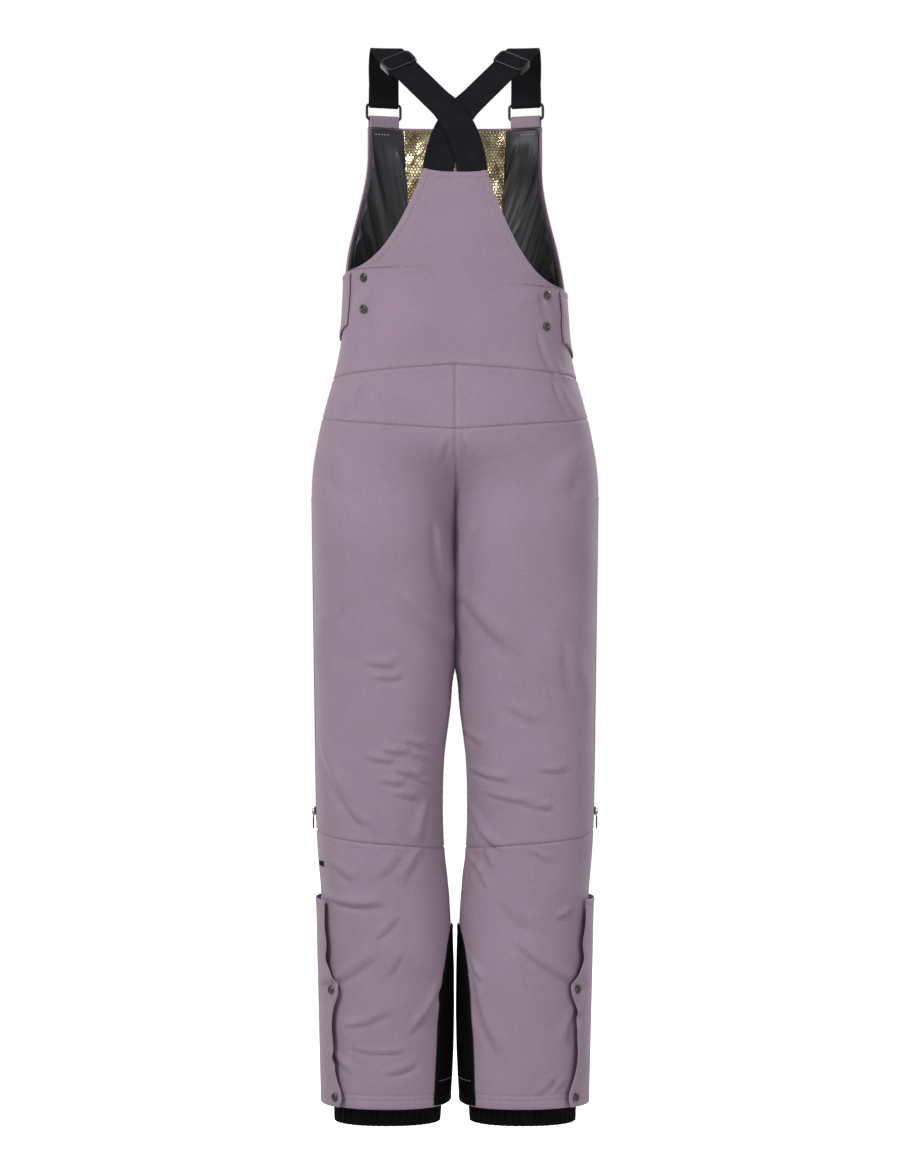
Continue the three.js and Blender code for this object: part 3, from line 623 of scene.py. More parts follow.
@dataclass
class Panel:
    """A piece of cloth that lies on the form between four edges.

    Attributes:
        name: name of the node it stands for.
        place: gives side, turn and height at shares across and up the piece.
        slot: its material slot; not used.
        out: how far its outer face stands out of the form.
        thick: its thickness.
        bottom, top, first, last: how its edges are finished.
        step: usual spacing of its grid.
        step_up: spacing of its rows, where that differs.
        extra: relief of its own.
        body: the body it rides on.
        centred: whether it crosses the centre line in its middle.
        wrap: whether it closes on itself.
        follow: share of the shell's drape that it takes.
        inner_extra: whether its own relief is on the inner face alone.
        curved: whether its sides curve across the form.
        bead: thickness of its thread.
        even: whether both faces take its own relief.
    """

    name: str
    place: Place
    slot: str
    out: float = 0.0
    thick: float = SHELL
    bottom: Edge = Edge.SEAM
    top: Edge = Edge.SEAM
    first: Edge = Edge.SEAM
    last: Edge = Edge.SEAM
    step: float = 4.0
    step_up: float = 0.0
    extra: Callable[[Field, Field, Field], Field] | None = None
    body: str = "garment"
    centred: bool = False
    wrap: bool = False
    follow: float = 1.0
    inner_extra: bool = False
    curved: bool = False
    bead: float = 0.65
    even: bool = False

    def __post_init__(self) -> None:
        """Measures the plain piece once, for edges and for its flat size."""
        shares = np.linspace(0, 1, MEASURES)
        u, v = np.meshgrid(shares, shares)
        side, turn, height = self.place(u, v)
        self._plain = self._points(side, turn, height, u, self.out)
        self._across = arc(self._plain, 1) / MM
        self._up = arc(self._plain, 0) / MM
        self.width = float(self._across[:, -1].max())
        self.length = float(self._up[-1].max())

    def _points(self, side: Field, turn: Field, height: Field, u: Field, out: Field) -> Field:
        """Points of the face, held on the centre line where the piece crosses it."""
        points = skin(side, turn, height, np.broadcast_to(out, turn.shape))
        if self.centred:
            points[..., 0] = np.where(np.abs(u - 0.5) < 1e-6, 0.0, points[..., 0])
        return points

    def _read(self, table: Field, u: Field, v: Field) -> Field:
        """Reads a measured table at places on the piece."""
        n = table.shape[0] - 1
        a, b = np.clip(u * n, 0, n), np.clip(v * n, 0, n)
        i, j = np.minimum(a.astype(int), n - 1), np.minimum(b.astype(int), n - 1)
        s, t = a - i, b - j
        low = mix(table[j, i], table[j, i + 1], s)
        return mix(low, mix(table[j + 1, i], table[j + 1, i + 1], s), t)

    def rise(self, u: Field, v: Field) -> tuple[Field, Field]:
        """The drape, and the drape with its edges and gathers, at places on the piece."""
        side, turn, height = self.place(u, v)
        lie = self.follow * drape(side, turn, height) if self.follow else np.zeros_like(height)
        across, up = self._read(self._across, u, v), self._read(self._up, u, v)
        wide = self._read(np.repeat(self._across[:, -1:], MEASURES, 1), u, v)
        tall = self._read(np.repeat(self._up[-1:], MEASURES, 0), u, v)
        full = lie + edge_rise(self.bottom, up, across) + edge_rise(self.top, tall - up, across)
        if not self.wrap:
            near, far = across, wide - across
            if self.curved:
                plain = self._points(side, turn, height, u, self.out)
                near, far = (self._from_edge(plain, column) for column in (0.0, 1.0))
            corner = bell(height - armhole_at(side), 6.0) if self.curved else 0.0
            sides = edge_rise(self.first, near, up) + edge_rise(self.last, far, up)
            full = full + sides * (1 - 0.95 * corner)
        if self.extra is not None:
            full = full + self.extra(side, turn, height)
        return lie, full

    def _from_edge(self, points: Field, share: float) -> Field:
        """Distance of points from the first or last edge, in millimetres."""
        v = np.linspace(0, 1, 260)
        u = np.full_like(v, share)
        side, turn, height = self.place(u, v)
        edge = self._points(side, turn, height, u, self.out)
        flat = points.reshape(-1, 3)
        found = [np.linalg.norm(flat[k : k + 2000, None] - edge[None], axis=-1).min(axis=1)
                 for k in range(0, len(flat), 2000)]
        return np.concatenate(found).reshape(points.shape[:-1]) / MM

    def surface(self, u: Field, v: Field, inner: bool = False) -> Field:
        """Points of the finished outer or inner face."""
        side, turn, height = self.place(u, v)
        lie, full = self.rise(u, v)
        if self.inner_extra:
            out = self.out + lie if not inner else self.out - self.thick + full
        else:
            under = full if self.even else lie
            out = self.out - self.thick + under if inner else self.out + full
        return self._points(side, turn, height, u, out)

    def line(self, edge: str, inset: float, start: float = 0.0, end: float = 1.0,
             inner: bool = False) -> tuple[Field, Field]:
        """A path beside an edge, for a row of stitches.

        Args:
            edge: bottom, top, first or last.
            inset: distance from that edge, in millimetres.
            start: share of the edge at which the path starts.
            end: share at which it ends.
            inner: whether it lies on the inner face.

        Returns:
            Points and directions out of the cloth.
        """
        shares = np.linspace(start, end, 240)
        sideways = edge in ("bottom", "top")
        if self.curved and not sideways:
            return self._curved_line(edge, inset, start, end)
        table = self._up if sideways else self._across
        n = table.shape[0]
        across = []
        for share in shares:
            k = share * (n - 1)
            i, t = min(int(k), n - 2), k - min(int(k), n - 2)
            run = mix(table[:, i], table[:, i + 1], t) if sideways else mix(table[i], table[i + 1], t)
            want = inset if edge in ("bottom", "first") else run[-1] - inset
            across.append(np.interp(want, run, np.linspace(0, 1, n)))
        across = np.array(across)
        u, v = (shares, across) if sideways else (across, shares)
        points = self.surface(u, v, inner)
        e = 0.004
        du = self.surface(np.clip(u + e, 0, 1), v, inner) - self.surface(np.clip(u - e, 0, 1), v, inner)
        dv = self.surface(u, np.clip(v + e, 0, 1), inner) - self.surface(u, np.clip(v - e, 0, 1), inner)
        normals = np.cross(du, dv)
        normals /= np.maximum(np.linalg.norm(normals, axis=1, keepdims=True), 1e-12)
        other = self.surface(u, v, not inner)
        normals *= np.sign(np.sum(normals * (points - other), axis=1, keepdims=True))
        return points, normals

    def _curved_line(self, edge: str, inset: float, start: float, end: float) -> tuple:
        """A path that keeps its distance from a curved side edge of the torso."""
        v = np.linspace(start, end, 400)
        u = np.full_like(v, 0.0 if edge == "first" else 1.0)
        side, turn, height = self.place(u, v)
        facing = np.sign(turn[len(turn) // 2])
        points = skin(side, turn, height)
        away = skin(side, turn, height, 1.0) - points
        run = np.gradient(points, axis=0)
        inward = np.cross(away, run)
        inward /= np.linalg.norm(inward, axis=1, keepdims=True)
        middle = np.array((0, facing * 0.09, points[:, 2].min() - 0.05))
        inward *= np.sign(((middle - points) * inward).sum(axis=1, keepdims=True))
        goal = points + inward * inset * MM
        height = goal[:, 2] / MM + STRAP_TOP
        turn = facing * turn_at(np.abs(goal[:, 0]) / MM, height)
        lift = drape(side, turn, height) - 0.2
        path = skin(side, turn, height, lift)
        normals = (skin(side, turn, height, lift + 1.0) - path) / MM
        return path, normals

    def build(self, finish: bpy.types.Material, thread: bpy.types.Material | None = None,
              rows: tuple = (), held: str = "hung") -> bpy.types.Object:
        """Args:
            finish: its cloth.
            thread: the thread of its stitches.
            rows: arguments of line() for each row of stitches.
            held: how the cloth is held; not used.

        Returns:
            The finished piece.
        """
        marks_u = tuple(sorted({*EDGE_MARKS[self.first], *EDGE_MARKS[self.last]}))
        marks_v = tuple(sorted({*EDGE_MARKS[self.bottom], *EDGE_MARKS[self.top]}))
        us = grid_shares(self.width, self.step, () if self.wrap else marks_u)
        vs = grid_shares(self.length, self.step_up or self.step, marks_v)
        if self.centred:
            us = np.sort(np.append(us[np.abs(us - 0.5) > 0.004], 0.5))
        if self.wrap:
            us = us[:-1]
        u, v = np.meshgrid(us, vs)
        cloth = Cloth()
        cloth.wall(self.surface(u, v), self.surface(u, v, inner=True), self.wrap)
        for row in rows:
            points, normals = self.line(*row)
            cloth.stitches(points, normals, thick=self.bead)
        made = cloth.finish(self.name)
        made.data.materials.append(finish)
        made.data.materials.append(thread or finish)
        put(made, self.body)
        return made


def put(piece: bpy.types.Object, body: str = "garment") -> None:
    """Seats a finished piece: the node it stands for and its body."""
    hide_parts(piece.name.removesuffix(LOOK))
    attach(piece, body)
    LOG.info("%s: %d faces on %s", piece.name, len(piece.data.polygons), body)


def half_place(side: Side, facing: int, low: Callable, high: Callable) -> Place:
    """Place on one half of the shell, between two seams, from the side to the centre."""

    def place(u: Field, v: Field) -> tuple[Field, Field, Field]:
        """Side, turn and height at shares across and up."""
        share = u if facing < 0 else 1 - u
        height = mix(low(facing * share) + SEAM / 2, high(facing * share) - SEAM / 2, v)
        turn = facing * mix(side_gap(height), 1.0, share)
        return np.full_like(u, side.value), turn, height

    return place


def back_place(low: Callable, inset: float) -> Place:
    """Place on the panel across the whole back, with its edges pulled in by inset."""
    split = 0.4

    def reach(side: Field, height: Field) -> Field:
        """How far from the centre the panel reaches at a height."""
        base = armhole_at(side)
        width = section(TORSO, height)[0]
        t = np.clip((height - base) / (BACK_TOP - base), 0, 1)
        return width - (width - BACK_TOP_HALF) * t**0.47

    def place(u: Field, v: Field) -> tuple[Field, Field, Field]:
        """Side, turn and height at shares across and up."""
        side = np.where(u < 0.5, -1, 1)
        share = np.abs(u - 0.5) * 2

        def height_on(half: Side) -> Field:
            """Height on one half's edge."""
            corner = half.armhole - inset
            upper = mix(corner, BACK_TOP - inset, np.clip((v - split) / (1 - split), 0, 1) ** 1.25)
            return np.where(v <= split, mix(low(-(1 - share)), corner, v / split), upper)

        height = mix(height_on(Side.LEFT), height_on(Side.RIGHT), smooth(u))
        edge = turn_at(reach(side, height + inset) - inset, height)
        turn = -mix(1.0, np.maximum(edge, side_gap(height)), share)
        sag = np.clip(v, 0, 1) ** 6 * (3.6 * (1 - share**2) + 2.4 * u)
        return side, turn, height - (0 if inset else 1) * sag

    return place


def bib_place(side: Side, low: float, inner: float | None, inset: float) -> Place:
    """Place on half of the front bib, from its outer edge to the centre."""

    def place(u: Field, v: Field) -> tuple[Field, Field, Field]:
        """Side, turn and height at shares across and up."""
        height = mix(low, BIB_TOP - inset, v) + 0 * u
        width = section(TORSO, height)[0]
        reach = mix(width, BIB_TOP_HALF, smooth((height - side.armhole) / 175)) - inset
        reach = np.where(height <= side.armhole, width, reach)
        edge = np.maximum(turn_at(reach, height), side_gap(height))
        centre = zip_edge(height) if inner is None else inner
        return np.full_like(u, side.value), mix(edge, centre, u), height

    return place


def satin_folds(side: Field, turn: Field, height: Field) -> Field:
    """Long soft folds of the loose side lining, which stand towards the wearer."""
    x = face(turn, height)[..., 0]
    lean = 62 * np.clip((1345 - height) / 200, 0, 1.6) ** 1.4
    run = x + lean + 5 * np.sin(height / 61 + side)
    soft = smooth((BIB_TOP - 10 - height) / 34) * smooth((height - 1010) / 40)
    fold = 0.5 + 0.5 * np.sin(run / 4.6 + 1.5 * np.sin(run / 14 + height / 90))
    small = 0.5 + 0.5 * np.sin(run / 2.1 + height / 27)
    return -soft * (6.4 * fold**2.4 + 0.9 * small) - 0.4


def foil_folds(side: Field, turn: Field, height: Field) -> Field:
    """Crumples of the foil lining."""
    x = face(turn, height)[..., 0] * side
    soft = smooth((BIB_TOP - 6 - height) / 24)
    run = np.abs(x) * 0.75 + height * 0.6
    fold = 0.5 + 0.5 * np.sin(run / 5.4 + 1.6 * np.sin(height / 31))
    return -soft * (5.0 * fold**1.8 + 1.1 * waves(x, height, 22, 31) + 1.1) - 0.3


def gathers(side: Field, turn: Field, height: Field) -> Field:
    """Gathers of a gaiter, tight at its elastic hem."""
    along = turn * 246
    tight = 0.35 + 0.65 * smooth((46 - height) / 40)
    wave = np.sin(along / 1.45 + 2.0 * np.sin(along / 17.0) + 0.5 * np.sin(height / 9))
    wave = wave + 0.45 * np.sin(along / 0.83 + 1.3 * np.sin(along / 7.0))
    band = -0.9 * bell(height - 19, 2.0) - 0.5 * bell(height - 11, 1.6)
    return 0.85 * tight * wave + band


def flap_lift(side: Field, turn: Field, height: Field) -> Field:
    """How the storm flap bows between its snaps."""
    free = smooth((-turn - 0.05) / 0.15)
    held = bell(height - FLAP_SNAPS["upper"], 34) + bell(height - FLAP_SNAPS["lower"], 30)
    between = 1 - np.clip(held + bell(height - 300, 30), 0, 1)
    return free * (1.6 * between + 0.5 * waves(turn * 300, height, 46, 80))


# ---- garment --------------------------------------------------------------------------
@dataclass
class Shell:
    """The insulated outer cloth of the bib and legs, with hems, seams and thread."""

    cloth: bpy.types.Material
    thread: bpy.types.Material
    step: float = 3.6

    def build(self) -> None:
        """Makes every shell panel."""
        back = Panel("back_bib_panel", back_place(lambda t: yoke_top(t) + SEAM / 2, 0.0), "shell",
                     top=Edge.TURNED, first=Edge.TURNED, last=Edge.TURNED, step=2.3,
                     centred=True, curved=True)
        back.build(self.cloth, self.thread, (
            ("top", 9.0, 0.03, 0.97), ("first", 8.2, 0.41, 0.985), ("last", 8.2, 0.41, 0.985),
            ("bottom", 2.4, 0.02, 0.98)))
        for side in Side:
            self._half(side)

    def _half(self, side: Side) -> None:
        """Makes the panels of one half."""
        wide = self.step * 1.35
        seam = ("bottom", 2.4, 0.02, 0.98)
        hems = tuple(("bottom", inset, 0.02, 0.98) for inset in (10, 17))
        hem, waist = level(HEM), level(WAIST)
        for name, facing, low, high, bottom, step, rows in (
            ("back_yoke", -1, yoke_low, yoke_top, Edge.SEAM, self.step, (("last", 4.6), seam)),
            ("back_leg_upper", -1, knee_at, yoke_low, Edge.SEAM, self.step,
             (("last", 4.6, 0.62, 0.99), seam)),
            ("back_leg_lower", -1, hem, knee_at, Edge.HEM, self.step, hems),
            ("front_leg_upper", 1, knee_at, waist, Edge.SEAM, wide,
             (("first", 4.6, 0.62, 0.99), seam)),
            ("front_leg_lower", 1, hem, knee_at, Edge.HEM, wide, hems),
        ):
            panel = Panel(f"{name}_{side.word}", half_place(side, facing, low, high), "shell",
                          bottom=bottom, step=step)
            panel.build(self.cloth, self.thread, rows)
        bib = Panel(f"front_bib_{side.word}", bib_place(side, WAIST + SEAM / 2, None, 0.0), "shell",
                    top=Edge.TURNED, first=Edge.TURNED, step=3.0, curved=True)
        bib.build(self.cloth, self.thread, (
            ("top", 8.2, 0.03, 0.97), ("first", 8.2, 0.42, 0.98), ("last", 5.0, 0.2, 0.98),
            ("bottom", 2.6, 0.02, 0.98)))


UNSEWN = {"thick": LINING, "bottom": Edge.PLAIN, "top": Edge.PLAIN, "first": Edge.PLAIN,
          "last": Edge.PLAIN}


@dataclass
class Linings:
    """Everything behind the shell: satin sides, gold foil, and the linings of seat and legs."""

    satin: bpy.types.Material
    foil: bpy.types.Material
    thread: bpy.types.Material

    def build(self) -> None:
        """Makes every lining."""
        back = Panel("back_lining", back_place(lambda t: yoke_low(t) + 8, 14.0), "lining",
                     out=-BACK_LINING_OUT, step=9, centred=True, **UNSEWN)
        back.build(self.satin)
        for side in Side:
            word = side.word
            place = bib_place(side, BIB_LINING_LOW, FOIL_EDGE - FOIL_CLEAR, 3.0)
            inner = Panel(f"bib_lining_{word}", place, "lining", out=-BIB_LINING_OUT, step=1.9,
                          step_up=4.5, extra=satin_folds, inner_extra=True, bead=1.3, **UNSEWN)
            inner.build(self.satin, self.thread, (("top", 6.5, 0.1, 0.72, True),))
            leg = Panel(f"leg_lining_{word}", self._tube(side, 60, CROTCH - 2), "lining",
                        out=-LINING_OUT, step=10, wrap=True, follow=0.5, **UNSEWN)
            leg.build(self.satin)
            seat = Panel(f"seat_lining_{word}", self._seat(side), "lining", out=-LINING_OUT,
                         step=10, follow=0.5, **UNSEWN)
            seat.build(self.satin)
        gold = Panel("bib_lining_gold", self._foil, "foil_lining", out=-BIB_LINING_OUT,
                     step=2.2, step_up=3.4, extra=foil_folds, inner_extra=True, centred=True,
                     **UNSEWN)
        gold.build(self.foil)

    @staticmethod
    def _tube(side: Side, low: float, high: float) -> Place:
        """Place round a whole leg."""

        def place(u: Field, v: Field) -> tuple[Field, Field, Field]:
            """Side, turn and height at shares round and up."""
            return np.full_like(u, side.value), 2 * u - 1, mix(low, high, v) + 0 * u

        return place

    @staticmethod
    def _seat(side: Side) -> Place:
        """Place on the seat lining of one half."""

        def place(u: Field, v: Field) -> tuple[Field, Field, Field]:
            """Side, turn and height at shares round and up."""
            turn = 2 * u - 1
            height = mix(CROTCH - 12, yoke_low(turn), mix(1 / 6, 1.0, v))
            return np.full_like(u, side.value), turn, height

        return place

    @staticmethod
    def _foil(u: Field, v: Field) -> tuple[Field, Field, Field]:
        """Side, turn and height on the gold lining across the middle of the front."""
        side = np.where(u < 0.5, -1, 1)
        turn = mix(1.0, FOIL_EDGE + FOIL_CLEAR, np.abs(u - 0.5) * 2)
        return side, turn, mix(BIB_LINING_LOW, BIB_TOP - 3, v) + 0 * u


@dataclass
class Ankles:
    """Gaiters, kick patches and storm flaps at the foot of each leg."""

    cloth: bpy.types.Material
    thread: bpy.types.Material
    scuff: bpy.types.Material
    gaiter: bpy.types.Material
    pale: bpy.types.Material

    def build(self) -> None:
        """Makes the soft pieces of both ankles."""
        for side in Side:
            word = side.word
            sock = Panel(f"gaiter_{word}", self._sock(side), "gaiter_fabric", thick=GAITER["thick"],
                         bottom=Edge.PLAIN, top=Edge.PLAIN, step=1.15, step_up=3.2,
                         extra=self._sock_fall, wrap=True, follow=0.0, even=True)
            sock.build(self.gaiter, held="gathered")
            patch = Panel(f"kick_patch_{word}", self._patch(side), "scuff_guard",
                          out=PATCH["out"] + PATCH["thick"], thick=PATCH["thick"], step=3.4,
                          bottom=Edge.TURNED)
            patch.build(self.scuff, self.pale, (("bottom", 33, 0.04, 0.96),))
            flap = Panel(f"ankle_flap_{word}", self._flap(side), "shell",
                         out=FLAP["out"] + FLAP["thick"], thick=FLAP["thick"], step=3.0,
                         bottom=Edge.TURNED, top=Edge.TURNED, first=Edge.TURNED,
                         extra=flap_lift, even=True, body=f"ankle_flap_{word}")
            flap.build(self.cloth, self.thread, (
                ("first", 8.2, 0.03, 0.97), ("top", 8.2, 0.1, 0.95)))

    @staticmethod
    def _sock(side: Side) -> Place:
        """Place round a gaiter."""

        def place(u: Field, v: Field) -> tuple[Field, Field, Field]:
            """Side, turn and height at shares round and up."""
            return np.full_like(u, side.value), 2 * u - 1, GAITER["top"] * v + 0 * u

        return place

    @staticmethod
    def _sock_fall(side: Field, turn: Field, height: Field) -> Field:
        """How far a gaiter draws in from the face, with its gathers."""
        drawn = GAITER["out"] + GAITER["drawn"] * (1 - height / GAITER["top"])
        return gathers(side, turn, height) - drawn

    @staticmethod
    def _patch(side: Side) -> Place:
        """Place on a kick patch, across the inner leg."""

        def place(u: Field, v: Field) -> tuple[Field, Field, Field]:
            """Side, turn and height at shares across and up."""
            half = PATCH["half"] * np.sqrt(1.02 - v**3)
            return np.full_like(u, side.value), -1 + half * (1 - 2 * u), mix(PATCH["low"], PATCH["top"], v)

        return place

    @staticmethod
    def _flap(side: Side) -> Place:
        """Place on a storm flap, whose free edge waves between its snaps."""

        def place(u: Field, v: Field) -> tuple[Field, Field, Field]:
            """Side, turn and height at shares across and up."""
            height = mix(FLAP["low"], FLAP["high"], v) + 0 * u
            held = bell(height - FLAP_SNAPS["upper"], 20) + bell(height - FLAP_SNAPS["lower"], 22)
            free = mix(FLAP["back"], FLAP["back"] + 0.05, smooth(v * 2 - 1))
            free = free + 0.045 * (1 - np.clip(held, 0, 1)) + 0.03 * bell(height - 222, 14)
            return np.full_like(u, side.value), mix(free, FLAP["front"], u), height

        return place


@dataclass
class WaistTabs:
    """The adjuster tabs at the sides of the waist."""

    cloth: bpy.types.Material
    thread: bpy.types.Material

    def build(self) -> None:
        """Makes both tabs."""
        for side in Side:
            tab = Panel(f"waist_tab_{side.word}", self._place(side), "shell",
                        out=TAB["out"] + TAB["thick"], thick=TAB["thick"], step=2.6,
                        bottom=Edge.TURNED, top=Edge.TURNED, first=Edge.TURNED,
                        body=f"waist_tab_{side.word}")
            rows = tuple((edge, 4.0, 0.05, 0.95) for edge in ("first", "bottom", "top"))
            tab.build(self.cloth, self.thread, rows)

    @staticmethod
    def _place(side: Side) -> Place:
        """Place on one tab, which is taller towards the front."""
        top = side.armhole - TAB["high"]

        def place(u: Field, v: Field) -> tuple[Field, Field, Field]:
            """Side, turn and height at shares across and up."""
            low = top - TAB["tall"] - TAB["flare"] * smooth(u * 2)
            return np.full_like(u, side.value), mix(TAB["back"], TAB["front"], u), mix(low, top, v)

        return place


# ---- bench work: hard pieces ----------------------------------------------------------
class Bench:
    """Hard pieces modelled from primitives, in millimetres, then seated by a matrix."""

    @staticmethod
    def _start() -> None:
        """Leaves nothing selected, in object mode."""
        if bpy.context.object is not None and bpy.context.object.mode != "OBJECT":
            bpy.ops.object.mode_set(mode="OBJECT")
        bpy.ops.object.select_all(action="DESELECT")

    @staticmethod
    def apply(piece: bpy.types.Object, kind: str, **values: object) -> None:
        """Adds one modifier and applies it."""
        bpy.ops.object.select_all(action="DESELECT")
        piece.select_set(True)
        bpy.context.view_layer.objects.active = piece
        modifier = piece.modifiers.new(kind.title(), kind)
        for key, value in values.items():
            setattr(modifier, key, value)
        bpy.ops.object.modifier_apply(modifier=modifier.name)

    @classmethod
    def round_off(cls, piece: bpy.types.Object, width: float, segments: int = 2) -> None:
        """Rounds the sharp edges of a piece."""
        cls.apply(piece, "BEVEL", width=width, segments=segments, limit_method="ANGLE",
                  angle_limit=math.radians(35))

    @staticmethod
    def _pick(piece: bpy.types.Object, way: Vector) -> None:
        """Enters edit mode with only the faces that look one way selected."""
        bpy.ops.object.mode_set(mode="EDIT")
        bpy.ops.mesh.select_all(action="DESELECT")
        shape = bmesh.from_edit_mesh(piece.data)
        for facet in shape.faces:
            facet.select_set(facet.normal.dot(way) > 0.9)
        bmesh.update_edit_mesh(piece.data)

    @classmethod
    def block(cls, size: tuple, at: tuple = (0, 0, 0), taper: float = 1.0,
              edge: float = 0.4) -> bpy.types.Object:
        """A block with rounded edges.

        Args:
            size: its sides.
            at: its middle.
            taper: width of its low end as a share of its high end, along Y.
            edge: radius of its edges.

        Returns:
            The block.
        """
        cls._start()
        bpy.ops.mesh.primitive_cube_add(size=1, location=at)
        made = bpy.context.object
        made.scale = size
        bpy.ops.object.transform_apply(location=True, rotation=True, scale=True)
        if taper != 1.0:
            cls._pick(made, Vector((0, -1, 0)))
            bpy.ops.transform.resize(value=(taper, 1, 1), center_override=at)
            bpy.ops.object.mode_set(mode="OBJECT")
        cls.round_off(made, edge)
        return made

    @classmethod
    def frame(cls, width: float, height: float, corner: float, bar: float, thick: float,
              edge: float) -> bpy.types.Object:
        """A rounded rectangular frame lying in the XY plane.

        Args:
            width: outer width.
            height: outer height.
            corner: outer corner radius.
            bar: width of its bars.
            thick: thickness of its bars.
            edge: radius of their edges.

        Returns:
            The frame.
        """
        cls._start()
        bpy.ops.mesh.primitive_plane_add(size=1)
        made = bpy.context.object
        made.scale = (width, height, 1)
        bpy.ops.object.transform_apply(location=True, rotation=True, scale=True)
        bpy.ops.object.mode_set(mode="EDIT")
        bpy.ops.mesh.select_all(action="SELECT")
        bpy.ops.mesh.bevel(offset=corner, segments=6, affect="VERTICES")
        bpy.ops.mesh.select_all(action="SELECT")
        bpy.ops.mesh.inset(thickness=bar, depth=0)
        bpy.ops.mesh.delete(type="FACE")
        bpy.ops.object.mode_set(mode="OBJECT")
        cls.apply(made, "SOLIDIFY", thickness=thick, offset=0)
        cls.round_off(made, edge, 3)
        return made

    @classmethod
    def cap(cls, radius: float, tall: float, sides: int = 32) -> bpy.types.Object:
        """A round snap cap on the XY plane, with a raised ring and a dished middle."""
        cls._start()
        bpy.ops.mesh.primitive_cylinder_add(vertices=sides, radius=radius, depth=tall * 0.6,
                                            location=(0, 0, tall * 0.3))
        made = bpy.context.object
        bpy.ops.object.transform_apply(location=True, rotation=True, scale=True)
        cls._pick(made, Vector((0, 0, 1)))
        for inset, rise in ((0.16, 0.4), (0.3, 0.0), (0.06, -0.35), (0.14, 0.0), (0.04, 0.3)):
            bpy.ops.mesh.inset(thickness=radius * inset, depth=0)
            bpy.ops.transform.translate(value=(0, 0, tall * rise))
        bpy.ops.object.mode_set(mode="OBJECT")
        cls.round_off(made, 0.22)
        return made

    @classmethod
    def row(cls, piece: bpy.types.Object, count: int, step: tuple) -> bpy.types.Object:
        """Repeats a piece in a straight row."""
        cls.apply(piece, "ARRAY", count=count, use_relative_offset=False, use_constant_offset=True,
                  constant_offset_displace=step)
        return piece

    @classmethod
    def join(cls, name: str, parts: list[tuple[bpy.types.Object, int]],
             finishes: list[bpy.types.Material], at: Matrix) -> bpy.types.Object:
        """Joins parts into one piece and seats it.

        Args:
            name: name of the piece.
            parts: each part with the number of its finish.
            finishes: the finishes.
            at: where the piece's own origin goes, in metres.

        Returns:
            The piece.
        """
        cls._start()
        for part, number in parts:
            part.data.materials.clear()
            for finish in finishes:
                part.data.materials.append(finish)
            part.data.polygons.foreach_set("material_index", [number] * len(part.data.polygons))
            part.select_set(True)
        whole = parts[0][0]
        bpy.context.view_layer.objects.active = whole
        if len(parts) > 1:
            bpy.ops.object.join()
        whole.name = whole.data.name = name + LOOK
        bpy.ops.object.mode_set(mode="EDIT")
        bpy.ops.mesh.select_all(action="SELECT")
        bpy.ops.mesh.normals_make_consistent(inside=False)
        bpy.ops.object.mode_set(mode="OBJECT")
        bpy.ops.object.shade_smooth_by_angle(angle=math.radians(38))
        for leftover in list(whole.modifiers):
            bpy.ops.object.modifier_apply(modifier=leftover.name)
        whole.data.transform(at @ Matrix.Scale(MM, 4))
        whole.data.update()
        return whole


RING_WIDTH, RING_HEIGHT, RING_BAR, RING_CORNER, RING_SWING = 52.0, 24.0, 3.6, 6.0, 1.4
RING_X, RING_OUT = 100.0, -3.9
GLIDE_WIDTH, GLIDE_HEIGHT, GLIDE_THICK, GLIDE_CORNER, GLIDE_CLEAR = 46.0, 28.0, 2.4, 8.0, 0.6
GLIDE_AT = 0.8  # share of the straight run behind the shoulder
FOLD_GAP = 0.9  # between the strap and its end, which comes back under it
SHOULDER_LIE = (0, -0.75, 0.65)  # which way the straight run faces


